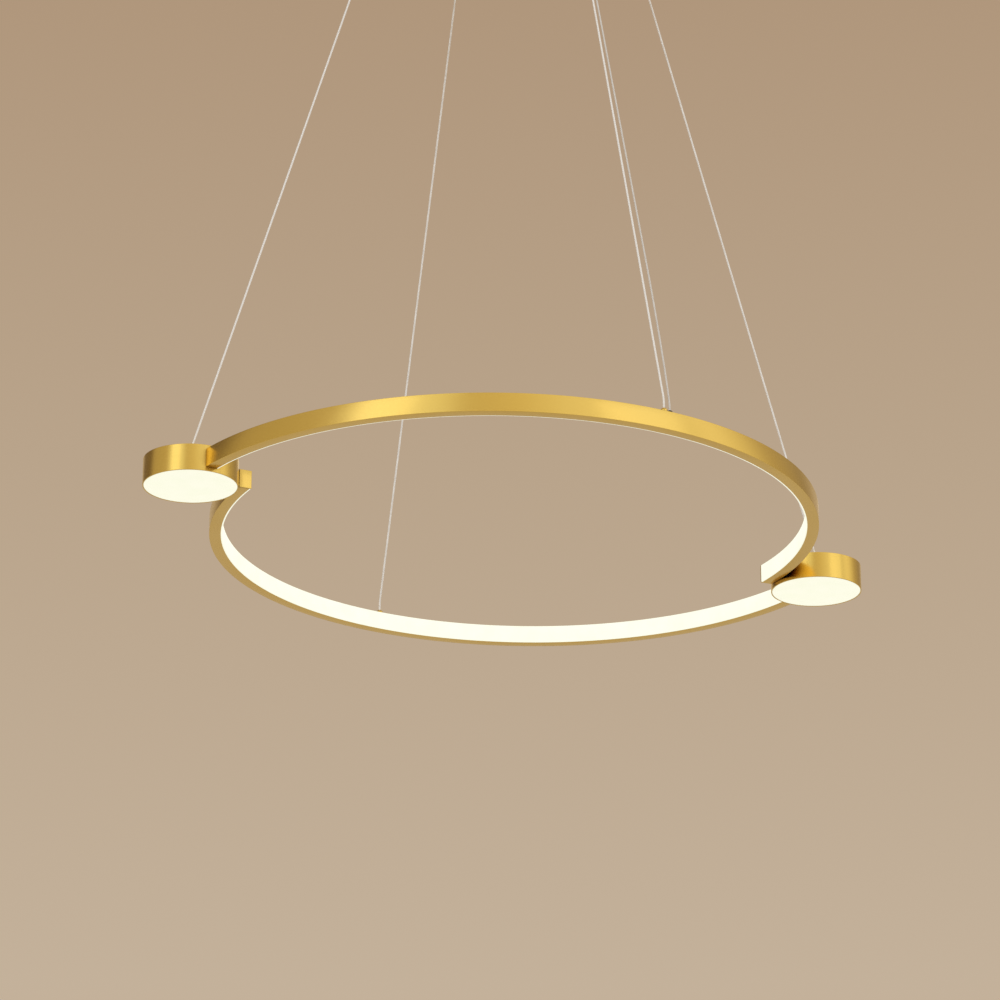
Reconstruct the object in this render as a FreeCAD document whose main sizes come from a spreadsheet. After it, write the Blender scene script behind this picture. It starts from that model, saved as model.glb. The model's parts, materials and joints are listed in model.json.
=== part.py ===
"""Ceiling light with a broken ring: two C-section half rings, each starting at a lit disc,
hung on four thin wires from a round canopy.

Millimetres, +Z up. The origin is the middle of the ceiling bracket's upper face.
+X runs from the left disc to the right disc, and the two halves are the same piece turned half way
round the vertical axis: the left half starts at the left disc and passes through -Y, the right half
starts at the right disc and passes through +Y.
"""
import FreeCAD, Part
import Sketcher
import math
import os

SIZES = (
    ("ring_radius", 300, "outer radius of each half ring"),
    ("profile_width", 12, "half ring section, across"),
    ("profile_height", 17, "half ring section, upright"),
    ("back_wall", 1.4, "outer wall of the channel"),
    ("flange_wall", 1.0, "upper and lower wall of the channel"),
    ("lens_front", 1.4, "thickness of the diffuser's lit face"),
    ("lens_reveal", 0.3, "metal left bare above and below the lit face"),
    ("lens_plug", 2.2, "depth of the diffuser's plug between the flanges"),
    ("fit_gap", 0.1, "clearance of pieces that clip or slide together"),
    ("joint_gap", 0.1, "clearance between a half ring and a disc's side"),
    ("strip_height", 10, "flexible LED strip, upright"),
    ("strip_thickness", 0.3, "flexible LED strip"),
    ("strip_glue", 0.15, "adhesive behind the strip"),
    ("chip_length", 3.5, "LED chip"),
    ("chip_width", 2.8, "LED chip"),
    ("chip_thickness", 0.7, "LED chip"),
    ("chip_solder", 0.03, "solder under a chip"),
    ("arc_chips", 36, "LED chips on one half ring"),
    ("end_run", 8, "straight run of a half ring's free end, past the disc's middle"),
    ("cap_plate", 1.5, "end cap's outer plate"),
    ("cap_plug", 8, "end cap's plug inside the channel"),
    ("cap_bevel", 0.8, "end cap's bevelled upright edges"),
    ("plug_gap", 0.3, "clearance round the plug"),
    ("strip_end_gap", 2, "room between the LED strip and the plug"),
    ("chip_end_gap", 3, "room between the last chips and what ends their row"),
    ("disc_radius", 42.5, "lit disc"),
    ("disc_height", 24.5, "lit disc"),
    ("disc_wall", 1, "disc housing's side"),
    ("disc_roof", 1.5, "disc housing's top"),
    ("disc_lens", 2, "thickness of the disc's diffuser"),
    ("disc_lens_reveal", 0.2, "diffuser's face above the housing's lower edge"),
    ("board_width", 38, "disc's square LED board"),
    ("board_hole", 5, "radius of the board's hole round the wire's end"),
    ("board_pad", 0.2, "heat-conducting adhesive above the board"),
    ("board_thickness", 1.2, "disc's LED board"),
    ("disc_chips", 12, "LED chips on the board"),
    ("disc_chip_circle", 13, "circle of those chips"),
    ("block_half", 8, "half width of the joint block's crossbar"),
    ("block_depth", 8, "joint block's crossbar, along the half ring"),
    ("block_margin", 3.6, "room between the crossbar's corners and the disc's side"),
    ("tongue_width", 5.2, "joint block's tongue in the channel"),
    ("tongue_reach", 16, "tongue in the channel, past the disc's side"),
    ("slot_gap", 0.4, "clearance of the tongue in the disc's side"),
    ("small_screw", 1.5, "radius of the joint and tie screws"),
    ("small_head", 2.7, "radius of their heads"),
    ("small_head_height", 1.6, "height of their heads"),
    ("joint_screw_length", 12, "joint screw's shank"),
    ("tie_screw_length", 9, "tie screw's shank"),
    ("head_gap", 0.1, "clearance under a head on a curved side"),
    ("screw_spacing", 10, "joint screws, centre to centre"),
    ("thread_gap", 0.05, "clearance of a screw or stem in its hole"),
    ("gland_radius", 3.2, "wire gland's collar"),
    ("gland_height", 4, "wire gland above its seat"),
    ("gland_collar", 2.4, "straight part of the collar"),
    ("gland_tip", 1.8, "wire gland's upper step"),
    ("gland_stem", 2.5, "wire gland's threaded stem"),
    ("gland_stem_length", 6, "stem below the seat"),
    ("gland_nut_flats", 6.4, "nut on the gland's stem"),
    ("gland_nut_height", 2, "nut on the gland's stem"),
    ("wire_radius", 0.9, "clear-coated steel wire"),
    ("wire_gap", 0.2, "clearance of a wire in its bores"),
    ("stop_radius", 1.9, "crimped stop at a wire's lower end"),
    ("stop_length", 3, "crimped stop"),
    ("wire_drop", 650, "canopy's underside above the half rings' lower face"),
    ("wire_lead_in", 8, "upright length of a wire at each end"),
    ("disc_wire_inset", 23.5, "disc wires' grippers inside the canopy's edge"),
    ("arc_wire_inset", 35, "half ring wires' grippers inside the canopy's edge"),
    ("gripper_collar", 8, "gripper's collar radius"),
    ("gripper_collar_height", 4, "gripper's collar"),
    ("gripper_barrel", 6.5, "gripper's barrel radius"),
    ("gripper_length", 20, "gripper below the canopy"),
    ("gripper_stem", 5, "gripper's threaded stem radius"),
    ("gripper_stem_length", 10, "stem above the canopy's sheet"),
    ("gripper_nut_flats", 14, "nut on the gripper's stem"),
    ("gripper_nut_height", 4, "nut on the gripper's stem"),
    ("plunger_tip", 3.25, "release plunger's tip radius"),
    ("plunger_flange", 4.4, "release plunger's flange radius"),
    ("plunger_flange_height", 2, "release plunger's flange"),
    ("plunger_out", 4, "plunger's tip below the barrel"),
    ("plunger_travel", 2, "press that frees the wire"),
    ("plunger_gap", 0.05, "plunger's running clearance"),
    ("neck_height", 1.5, "barrel's lip that holds the plunger"),
    ("wire_tail", 6, "wire above the gripper's stem"),
    ("lead_radius", 0.8, "clear feed lead"),
    ("lead_offset", 6, "lead's inlet beside the wire gland"),
    ("inlet_radius", 2.2, "lead's inlet on the half ring"),
    ("inlet_height", 3, "lead's inlet on the half ring"),
    ("inlet_stem", 1.6, "inlet's stem radius"),
    ("inlet_stem_length", 2.5, "inlet's stem below its seat"),
    ("lead_gland_offset", 17, "lead's gland beside the gripper"),
    ("lead_gland_radius", 6, "lead's gland on the canopy"),
    ("lead_gland_height", 8, "lead's gland below the canopy"),
    ("lead_gland_step", 4, "height of its wider part"),
    ("lead_gland_tip", 4, "radius of its narrower part"),
    ("lead_gland_stem", 4, "gland's stem radius"),
    ("lead_gland_stem_length", 8, "gland's stem above the canopy's sheet"),
    ("lead_nut_flats", 11, "nut on the gland's stem"),
    ("lead_nut_height", 3, "nut on the gland's stem"),
    ("lead_drop", 20, "upright length of the lead below its gland"),
    ("lead_rise", 10, "upright length of the lead above its inlet"),
    ("lead_near_side", 3, "lead beside the wire near the canopy"),
    ("lead_near_fall", 80, "that place below the canopy"),
    ("lead_low_side", 7.4, "lead beside the wire near the half ring"),
    ("lead_low_rise", 130, "that place above the half rings' lower face"),
    ("canopy_radius", 160, "ceiling canopy"),
    ("canopy_height", 28, "ceiling canopy"),
    ("canopy_wall", 1.2, "canopy's sheet"),
    ("canopy_bevel", 1, "canopy's bevelled lower edge"),
    ("strap_width", 24, "ceiling bracket"),
    ("strap_thickness", 1.5, "ceiling bracket"),
    ("strap_tab", 18, "bracket's bent ends"),
    ("strap_bend", 1.3, "outer radius of the bracket's bends"),
    ("strap_clearance", 0.8, "bent ends inside the canopy's side"),
    ("slot_spacing", 100, "ceiling screw slots, centre to centre"),
    ("slot_length", 30, "ceiling screw slots"),
    ("slot_radius", 2.5, "half the slots' width"),
    ("side_screw_level", 10, "canopy screws below the ceiling"),
    ("side_screw", 2, "canopy screw's radius"),
    ("side_screw_length", 8, "canopy screw's shank"),
    ("side_head", 4, "canopy screw's head radius"),
    ("side_head_height", 2.4, "canopy screw's head"),
    ("bush_bore", 5, "supply cable's bush"),
    ("bush_radius", 8, "bush in the bracket"),
    ("bush_height", 3, "bush in the bracket"),
    ("driver_length", 120, "LED driver"),
    ("driver_width", 40, "LED driver"),
    ("driver_height", 18, "LED driver"),
    ("driver_bevel", 3, "driver's bevelled upright edges"),
    ("driver_y", 62, "driver's middle line"),
    ("block_length", 30, "terminal block"),
    ("block_width", 16, "terminal block"),
    ("block_height", 14, "terminal block"),
    ("block_y", -60, "terminal block's middle line"),
    ("pole_pitch", 9, "terminal block's poles"),
    ("way_width", 3.6, "terminal block's wire ways"),
    ("way_level", 3, "wire ways above the block's lower side"),
    ("well_radius", 2.2, "terminal block's screw wells"),
    ("well_depth", 6, "terminal block's screw wells"),
    ("well_screw", 4, "clamping screw in a well"),
)

doc = FreeCAD.newDocument("RingLight")
sheet = doc.addObject("Spreadsheet::Sheet", "Sizes")
for row, (alias, value, note) in enumerate(SIZES, start=1):
    sheet.set(f"A{row}", alias)
    sheet.set(f"B{row}", str(value))
    sheet.setAlias(f"B{row}", alias)
    sheet.set(f"C{row}", note)
doc.recompute()

# Places that several pieces share, worked out from the sheet.
CENTRE_LINE = "(Sizes.ring_radius - Sizes.profile_width / 2)"
ARC_OFFSET = "((Sizes.disc_radius + Sizes.joint_gap + Sizes.profile_width / 2) / 2)"
DISC_X = f"({CENTRE_LINE} + {ARC_OFFSET})"
RING_Z = "(-Sizes.canopy_height - Sizes.wire_drop)"
RING_TOP = f"({RING_Z} + Sizes.profile_height)"
DISC_UNDER = "((Sizes.disc_height - Sizes.profile_height) / 2)"
DISC_Z = f"({RING_Z} - {DISC_UNDER})"
DISC_TOP = f"({DISC_Z} + Sizes.disc_height)"
CANOPY_UNDER = "(-Sizes.canopy_height)"
CANOPY_FLOOR = "(-Sizes.canopy_height + Sizes.canopy_wall)"

# Radii in a half ring's section.
MOUTH = "(Sizes.ring_radius - Sizes.profile_width)"
FLANGE_END = f"({MOUTH} + Sizes.lens_front)"
PLUG_END = f"({FLANGE_END} + Sizes.lens_plug)"
BACK = "(Sizes.ring_radius - Sizes.back_wall)"
CAVITY_MIDDLE = f"(({PLUG_END} + {BACK}) / 2)"
STRIP_BACK = f"({BACK} - Sizes.strip_glue)"
STRIP_FACE = f"({STRIP_BACK} - Sizes.strip_thickness)"
CHIP_BACK = f"({STRIP_FACE} - Sizes.chip_solder)"

# Glands and inlet stand over the middle of the channel's cavity, the glands on the cross line X = 0.
GLAND_Y = f"sqrt({CAVITY_MIDDLE} ^ 2 - {ARC_OFFSET} ^ 2)"
INLET_Y = f"sqrt({CAVITY_MIDDLE} ^ 2 - ({ARC_OFFSET} + Sizes.lead_offset) ^ 2)"

# The joint block stands inside the disc's side, square to the half ring's curve.
DISC_INSIDE = "(Sizes.disc_radius - Sizes.disc_wall)"
DISC_CEILING = "(Sizes.disc_height - Sizes.disc_roof)"
BLOCK_FRONT = f"sqrt({DISC_INSIDE} ^ 2 - (Sizes.block_half + Sizes.block_margin) ^ 2)"
BLOCK_CHORD = f"({BLOCK_FRONT} - Sizes.block_depth / 2)"
BLOCK_TURN = f"(2 * asin({BLOCK_CHORD} / (2 * {CENTRE_LINE})) / 1 deg)"
TONGUE_TURN = f"((Sizes.disc_wall + Sizes.block_depth + Sizes.tongue_reach) / {CENTRE_LINE} * 180 / pi)"
CAP_TURN = f"((Sizes.cap_plug + Sizes.strip_end_gap - Sizes.end_run) / {CENTRE_LINE} * 180 / pi)"
CHIP_MARGIN = f"(Sizes.chip_end_gap / {CENTRE_LINE} * 180 / pi)"
CHIP_START = f"({BLOCK_TURN} + {TONGUE_TURN} + {CHIP_MARGIN})"
CHIP_SPAN = f"(180 - {CHIP_START} - {CAP_TURN} - {CHIP_MARGIN})"
# The tie screw goes into the middle of the end cap's plug; its place along a half ring's own Y.
TIE_Y = "(Sizes.cap_plug / 2 - Sizes.end_run)"
BOARD_TOP = f"({DISC_CEILING} - Sizes.board_pad)"
BOARD_FACE = f"({BOARD_TOP} - Sizes.board_thickness)"
DISC_WIRES = "(Sizes.canopy_radius - Sizes.disc_wire_inset)"
ARC_WIRES = "(Sizes.canopy_radius - Sizes.arc_wire_inset)"

PLUNGER_LOW = "(-Sizes.gripper_length - Sizes.plunger_out)"
NECK_TOP = "(-Sizes.gripper_length + Sizes.neck_height)"
STEM_TOP = "(Sizes.canopy_wall + Sizes.gripper_stem_length)"

HALVES = (("left", -1), ("right", 1))
# Name, turn about the vertical, and whether the wire holds a disc or a half ring.
WIRES = (
    ("left_disc", 180, "disc"),
    ("right_disc", 0, "disc"),
    ("left_arc", 270, "arc"),
    ("right_arc", 90, "arc"),
)
# Small turned pieces, screws, nuts and their holes are drawn with flats.
FLATS = 8
HEXAGON = 6
# How near two places count as the same, the least volume that a cut removes, the share of a run that its
# bends may take, and the share of its volume that a cord may be off.
NEAR = 1e-3
SLIVER = 1e-6
BEND_SHARE = 0.45
VOLUME_SHARE = 0.01
nodes = []


def number(expression):
    """A size, or a sum of sizes, as a plain number."""
    return float(sheet.evalExpression(expression))


def keep(part, label):
    """Take a finished piece into the assembly under its own name."""
    part.Label = label
    nodes.append(part)
    return part


def seat(part, x="0", y="0", z="0", turn="0"):
    """Seat a piece by its position and its turn about the vertical, all bound to the sheet."""
    upright = FreeCAD.Vector(0, 0, 1)
    part.Placement = FreeCAD.Placement(FreeCAD.Vector(), FreeCAD.Rotation(upright, number(turn)))
    for axis, place in zip("xyz", (x, y, z)):
        part.setExpression(f"Placement.Base.{axis}", place)
    if turn != "0":
        part.setExpression("Placement.Rotation.Angle", turn)
    return part


def half_turn(side):
    return "0" if side > 0 else "180"


def new_body(name):
    return doc.addObject("PartDesign::Body", name)


def new_sketch(body, name, role, level="0"):
    """An empty sketch on one of the body's own planes, raised by a level along its normal."""
    sketch = body.newObject("Sketcher::SketchObject", name)
    plane = next(item for item in body.Origin.OriginFeatures if item.Role == role)
    sketch.AttachmentSupport = [(plane, "")]
    sketch.MapMode = "FlatFace"
    if level != "0":
        sketch.setExpression("AttachmentOffset.Base.z", level)
    return sketch


def bind(sketch, kind, size, *target):
    """Add a dimension and tie it to the sheet."""
    index = sketch.addConstraint(Sketcher.Constraint(kind, *target, number(size)))
    sketch.setExpression(f"Constraints[{index}]", size)


def pin_point(sketch, edge, end, x, y):
    """Hold a point of the sketch at (x, y), measured from the sketch's origin."""
    if x == "0":
        sketch.addConstraint(Sketcher.Constraint("PointOnObject", edge, end, -2))
    else:
        bind(sketch, "DistanceX", x, -1, 1, edge, end)
    if y == "0":
        sketch.addConstraint(Sketcher.Constraint("PointOnObject", edge, end, -1))
    else:
        bind(sketch, "DistanceY", y, -1, 1, edge, end)


def outline(body, name, role, corners, level="0"):
    """A closed outline of straight edges, each corner a pair of sizes."""
    sketch = new_sketch(body, name, role, level)
    points = [FreeCAD.Vector(number(x), number(y), 0) for x, y in corners]
    for start, end in zip(points, points[1:] + points[:1]):
        sketch.addGeometry(Part.LineSegment(start, end), False)
    for edge in range(len(corners)):
        following = (edge + 1) % len(corners)
        sketch.addConstraint(Sketcher.Constraint("Coincident", edge, 2, following, 1))
    for edge, (x, y) in enumerate(corners):
        pin_point(sketch, edge, 1, x, y)
    return sketch


def box_outline(body, name, role, low, high, level="0"):
    """A rectangle between two opposite corners."""
    corners = (low, (high[0], low[1]), high, (low[0], high[1]))
    return outline(body, name, role, corners, level)


def rounds(body, name, role, circles, level="0"):
    """Circles, each given as (x, y, radius)."""
    sketch = new_sketch(body, name, role, level)
    for index, (x, y, radius) in enumerate(circles):
        centre = FreeCAD.Vector(number(x), number(y), 0)
        sketch.addGeometry(Part.Circle(centre, FreeCAD.Vector(0, 0, 1), number(radius)), False)
        pin_point(sketch, index, 3, x, y)
        bind(sketch, "Radius", radius, index)
    return sketch


def drilled(body, name, role, holes, level="0"):
    """Small holes drawn with flats round their circles, each given as (x, y, radius)."""
    sketch = new_sketch(body, name, role, level)
    for index, (x, y, radius) in enumerate(holes):
        first = index * FLATS
        corners = []
        for corner in range(FLATS):
            turn = f"({180 * (2 * corner + 1)} / {FLATS})"
            reach = f"({radius}) / cos(180 / {FLATS})"
            corners.append((f"{x} + {reach} * cos({turn})", f"{y} + {reach} * sin({turn})"))
        points = [FreeCAD.Vector(number(along), number(across), 0) for along, across in corners]
        for start, end in zip(points, points[1:] + points[:1]):
            sketch.addGeometry(Part.LineSegment(start, end), False)
        for corner, (along, across) in enumerate(corners):
            following = first + (corner + 1) % FLATS
            sketch.addConstraint(Sketcher.Constraint("Coincident", first + corner, 2, following, 1))
            pin_point(sketch, first + corner, 1, along, across)
    return sketch


def slots(body, name, centres, length, radius, level="0"):
    """Round-ended slots along X, on the body's level plane."""
    sketch = new_sketch(body, name, "XY_Plane", level)
    upright = FreeCAD.Vector(0, 0, 1)
    reach = f"({length} / 2 - {radius})"
    rise = FreeCAD.Vector(0, number(radius), 0)
    for index, centre in enumerate(centres):
        right_x = f"{centre} + {reach}"
        left_x = f"{centre} - {reach}"
        right = FreeCAD.Vector(number(right_x), 0, 0)
        left = FreeCAD.Vector(number(left_x), 0, 0)
        first = 4 * index
        right_circle = Part.Circle(right, upright, number(radius))
        left_circle = Part.Circle(left, upright, number(radius))
        sketch.addGeometry(Part.ArcOfCircle(right_circle, -math.pi / 2, math.pi / 2), False)
        sketch.addGeometry(Part.LineSegment(right + rise, left + rise), False)
        sketch.addGeometry(Part.ArcOfCircle(left_circle, math.pi / 2, 3 * math.pi / 2), False)
        sketch.addGeometry(Part.LineSegment(left - rise, right - rise), False)
        for step in range(4):
            edge = first + step
            following = first + (step + 1) % 4
            sketch.addConstraint(Sketcher.Constraint("Tangent", edge, 2, following, 1))
        pin_point(sketch, first, 3, right_x, "0")
        pin_point(sketch, first + 2, 3, left_x, "0")
        bind(sketch, "Radius", radius, first)
        sketch.addConstraint(Sketcher.Constraint("Equal", first, first + 2))
    return sketch


def pad(body, name, sketch, length, backwards=False):
    feature = body.newObject("PartDesign::Pad", name)
    feature.Profile = sketch
    feature.Reversed = backwards
    feature.setExpression("Length", length)
    return feature


def cut(body, name, sketch, depth=None, backwards=False):
    """A pocket through everything on one side of its sketch, or to a depth; it has to remove material."""
    doc.recompute()
    before = body.Shape.Volume
    feature = body.newObject("PartDesign::Pocket", name)
    feature.Profile = sketch
    feature.Reversed = backwards
    if depth is None:
        feature.Type = "ThroughAll"
    else:
        feature.setExpression("Length", depth)
    doc.recompute()
    if body.Shape.Volume >= before - SLIVER:
        raise RuntimeError(f"{body.Name}: {name} removes nothing")
    return feature


def turned(body, name, sketch, angle="360"):
    """The sketch turned about its upright axis."""
    feature = body.newObject("PartDesign::Revolution", name)
    feature.Profile = sketch
    feature.ReferenceAxis = (sketch, ["V_Axis"])
    feature.setExpression("Angle", angle)
    return feature


def around(body, name, originals, sketch, count, angle="360"):
    """Copies of a feature spread about the upright axis through the sketch's origin."""
    feature = body.newObject("PartDesign::PolarPattern", name)
    feature.Originals = originals
    feature.Axis = (sketch, ["N_Axis"])
    feature.setExpression("Angle", angle)
    feature.setExpression("Occurrences", count)
    body.Tip = feature
    return feature


def picked(base, chosen):
    """The edges of a feature that the test picks."""
    doc.recompute()
    edges = [f"Edge{index}" for index, edge in enumerate(base.Shape.Edges, start=1) if chosen(edge)]
    return base, edges


def rounded(body, name, base, radius, chosen):
    """Round the edges of a feature that the test picks."""
    feature = body.newObject("PartDesign::Fillet", name)
    feature.Base = picked(base, chosen)
    feature.setExpression("Radius", radius)
    body.Tip = feature


def bevelled(body, name, base, size, chosen):
    """Bevel the edges of a feature that the test picks."""
    feature = body.newObject("PartDesign::Chamfer", name)
    feature.Base = picked(base, chosen)
    feature.setExpression("Size", size)
    body.Tip = feature


def upright_edge(edge, xs, ys):
    """True for a straight upright edge at one of these places."""
    ends = [vertex.Point for vertex in edge.Vertexes]
    if len(ends) != 2 or abs(ends[0].z - ends[1].z) < NEAR:
        return False
    level = abs(ends[0].x - ends[1].x) < NEAR and abs(ends[0].y - ends[1].y) < NEAR
    at_x = any(abs(ends[0].x - x) < NEAR for x in xs)
    at_y = any(abs(ends[0].y - y) < NEAR for y in ys)
    return level and at_x and at_y


def bar(name, sides, corner, low, high):
    """An upright bar with flats, between two levels; corner is the radius of its corners."""
    prism = doc.addObject("Part::Prism", name)
    prism.Polygon = sides
    prism.setExpression("Circumradius", corner)
    prism.setExpression("Height", f"({high}) - ({low})")
    prism.setExpression("Placement.Base.z", low)
    return prism


def joined(name, members):
    """The members as one piece."""
    if len(members) == 1:
        return members[0]
    whole = doc.addObject("Part::MultiFuse", name)
    whole.Shapes = members
    return whole


def stepped(name, rods, bores=()):
    """Rods on one axis in one piece, less its bores, each given as (radius, low, high)."""
    body = joined(f"{name}Rods", [
        bar(f"{name}Rod{index}", FLATS, radius, low, high)
        for index, (radius, low, high) in enumerate(rods, start=1)
    ])
    if not bores:
        return body
    tool = joined(f"{name}Bores", [
        bar(f"{name}Bore{index}", FLATS, f"({radius}) / cos(180 / {FLATS})", low, high)
        for index, (radius, low, high) in enumerate(bores, start=1)
    ])
    pierced = doc.addObject("Part::Cut", name)
    pierced.Base = body
    pierced.Tool = tool
    return pierced


def rod(name, radius, length, x="0", y="0", z="0"):
    """A plain upright rod, its lower end at (x, y, z)."""
    return seat(bar(name, FLATS, radius, "0", length), x, y, z)


def screw(name, head, head_height, shank, length, place, tip):
    """A pan-head screw: its head's underside at the place, its shank pointing along tip."""
    whole = stepped(name, ((head, f"-{head_height}", "0"), (shank, "0", length)))
    whole.Placement = FreeCAD.Placement(FreeCAD.Vector(), FreeCAD.Rotation(FreeCAD.Vector(0, 0, 1), tip))
    for axis, value in zip("xyz", place):
        whole.setExpression(f"Placement.Base.{axis}", value)
    return whole


def nut(name, flats, bore, height, place):
    """A hexagon nut, its lower face at the place."""
    pierced = doc.addObject("Part::Cut", name)
    pierced.Base = bar(f"{name}Hexagon", HEXAGON, f"{flats} / 2 / cos(180 / {HEXAGON})", "0", height)
    pierced.Tool = bar(f"{name}Bore", FLATS, f"({bore}) / cos(180 / {FLATS})", "0", height)
    return seat(pierced, *place)


def group(label, members):
    """Identical fasteners, or other like pieces, under one name."""
    compound = doc.addObject("Part::Compound", "".join(word.title() for word in label.split("_")))
    compound.Links = members
    return keep(compound, label)


# ---------------------------------------------------------------- half rings

def half_ring(body, name, corners):
    """The section turned half way round, run on straight at the free end and coped round its own disc."""
    turned(body, f"{name}Arc", outline(body, f"{name}Section", "XZ_Plane", corners), "180")
    far_end = [(f"-{x}", z) for x, z in corners]
    pad(body, f"{name}Run", outline(body, f"{name}RunSection", "XZ_Plane", far_end), "Sizes.end_run")
    cope = rounds(body, f"{name}Cope", "XY_Plane", (
        (CENTRE_LINE, "0", "Sizes.disc_radius + Sizes.joint_gap"),
    ))
    cut(body, f"{name}CopeCut", cope, backwards=True)


def arc_channel(side, name):
    """C-section half ring with holes for its gland, lead and tie screw."""
    body = new_body(f"ArcChannel{name}")
    top = "Sizes.profile_height"
    floor = "Sizes.flange_wall"
    ceiling = f"({top} - Sizes.flange_wall)"
    half_ring(body, f"Channel{name}", (
        ("Sizes.ring_radius", "0"),
        ("Sizes.ring_radius", top),
        (FLANGE_END, top),
        (FLANGE_END, ceiling),
        (BACK, ceiling),
        (BACK, floor),
        (FLANGE_END, floor),
        (FLANGE_END, "0"),
    ))
    holes = [(f"-{ARC_OFFSET}", GLAND_Y, "Sizes.gland_stem + Sizes.thread_gap")]
    if side < 0:
        inlet_x = f"-({ARC_OFFSET} + Sizes.lead_offset)"
        holes.append((inlet_x, INLET_Y, "Sizes.inlet_stem + Sizes.thread_gap"))
    top_holes = drilled(body, f"TopHoles{name}", "XY_Plane", holes, "Sizes.profile_height / 2")
    cut(body, f"TopHoleCut{name}", top_holes, backwards=True)
    tie = drilled(body, f"TieHole{name}", "YZ_Plane", (
        (TIE_Y, "Sizes.profile_height / 2", "Sizes.small_screw + Sizes.thread_gap"),
    ))
    cut(body, f"TieHoleCut{name}", tie)
    return body


def arc_diffuser(name):
    """Opal strip: its lit face covers the channel's mouth and its plug is pushed in between the flanges."""
    body = new_body(f"ArcDiffuser{name}")
    low = "(Sizes.flange_wall + Sizes.fit_gap)"
    high = "(Sizes.profile_height - Sizes.flange_wall - Sizes.fit_gap)"
    half_ring(body, f"Diffuser{name}", (
        (MOUTH, "Sizes.lens_reveal"),
        (FLANGE_END, "Sizes.lens_reveal"),
        (FLANGE_END, low),
        (PLUG_END, low),
        (PLUG_END, high),
        (FLANGE_END, high),
        (FLANGE_END, "Sizes.profile_height - Sizes.lens_reveal"),
        (MOUTH, "Sizes.profile_height - Sizes.lens_reveal"),
    ))
    return body


def arc_led_strip(name):
    """Flexible strip on the channel's outer wall, from past the joint block's tongue to the end cap's plug."""
    body = new_body(f"ArcLedStrip{name}")
    low = "(Sizes.profile_height - Sizes.strip_height) / 2"
    high = "(Sizes.profile_height + Sizes.strip_height) / 2"
    section = box_outline(body, f"StripSection{name}", "XZ_Plane", (STRIP_FACE, low), (STRIP_BACK, high))
    turned(body, f"StripArc{name}", section, f"180 - {BLOCK_TURN} - {TONGUE_TURN} - {CAP_TURN}")
    return body


def arc_led_chips(name):
    """LED chips in a row along the strip, past the joint block's tongue."""
    body = new_body(f"ArcLedChips{name}")
    low = "(Sizes.profile_height - Sizes.chip_length) / 2"
    high = "(Sizes.profile_height + Sizes.chip_length) / 2"
    chip = box_outline(
        body, f"ChipFace{name}", "XZ_Plane",
        (f"{CHIP_BACK} - Sizes.chip_thickness", low), (CHIP_BACK, high), "-Sizes.chip_width / 2")
    first = pad(body, f"Chip{name}", chip, "Sizes.chip_width")
    flat = rounds(body, f"ChipAxis{name}", "XY_Plane", (("0", "0", "1"),))
    doc.recompute()
    around(body, f"ChipRow{name}", [first], flat, "Sizes.arc_chips", CHIP_SPAN)
    return body


def arc_end_cap(name):
    """Plate over the free end, with a plug in the channel that takes the tie screw."""
    body = new_body(f"ArcEndCap{name}")
    plate = box_outline(
        body, f"CapPlateOutline{name}", "XZ_Plane",
        ("-Sizes.ring_radius", "0"), (f"-{MOUTH}", "Sizes.profile_height"))
    plate_pad = pad(body, f"CapPlate{name}", plate, "Sizes.cap_plate")
    edge_xs = (-number("Sizes.ring_radius"), -number(MOUTH))
    edge_y = -number("Sizes.cap_plate")
    bevelled(
        body, f"CapBevel{name}", plate_pad, "Sizes.cap_bevel",
        lambda edge: upright_edge(edge, edge_xs, (edge_y,)))
    inset = "(Sizes.flange_wall + Sizes.fit_gap)"
    plug = box_outline(
        body, f"CapPlugOutline{name}", "XZ_Plane",
        (f"-({BACK} - Sizes.plug_gap)", inset),
        (f"-({PLUG_END} + Sizes.plug_gap)", f"Sizes.profile_height - {inset}"))
    pad(body, f"CapPlug{name}", plug, "Sizes.cap_plug", backwards=True)
    thread = drilled(body, f"CapThread{name}", "YZ_Plane", (
        ("Sizes.cap_plug / 2", "Sizes.profile_height / 2", "Sizes.small_screw + Sizes.thread_gap"),
    ))
    cut(body, f"CapThreadCut{name}", thread)
    return body


def joint_block(name):
    """Cast block that ties a half ring to its disc: a crossbar under the roof and a curved tongue."""
    body = new_body(f"JointBlock{name}")
    low = "(Sizes.flange_wall + Sizes.fit_gap)"
    high = "(Sizes.profile_height - Sizes.flange_wall - Sizes.fit_gap)"
    roof = f"({DISC_CEILING} - {DISC_UNDER})"
    crossbar = box_outline(
        body, f"CrossbarOutline{name}", "XZ_Plane",
        (f"{CAVITY_MIDDLE} - Sizes.block_half", low), (f"{CAVITY_MIDDLE} + Sizes.block_half", roof),
        "-Sizes.block_depth / 2")
    pad(body, f"Crossbar{name}", crossbar, "Sizes.block_depth")
    tongue = box_outline(
        body, f"TongueSection{name}", "XZ_Plane",
        (f"{CAVITY_MIDDLE} - Sizes.tongue_width / 2", low),
        (f"{CAVITY_MIDDLE} + Sizes.tongue_width / 2", high))
    turned(body, f"Tongue{name}", tongue, TONGUE_TURN)
    threads = drilled(body, f"BlockThreads{name}", "XY_Plane", [
        (f"{CAVITY_MIDDLE} {sign} Sizes.screw_spacing / 2", "0", "Sizes.small_screw + Sizes.thread_gap")
        for sign in "-+"
    ])
    cut(body, f"BlockThreadCut{name}", threads, backwards=True)
    return body


# ---------------------------------------------------------------- discs

def block_screw_places():
    """The joint screws in the disc's own frame, from the turn of the block about the half ring's axis."""
    places = []
    for sign in "-+":
        reach = f"({CAVITY_MIDDLE} {sign} Sizes.screw_spacing / 2)"
        places.append((f"{reach} * cos({BLOCK_TURN}) - {CENTRE_LINE}", f"{reach} * sin({BLOCK_TURN})"))
    return places


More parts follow.
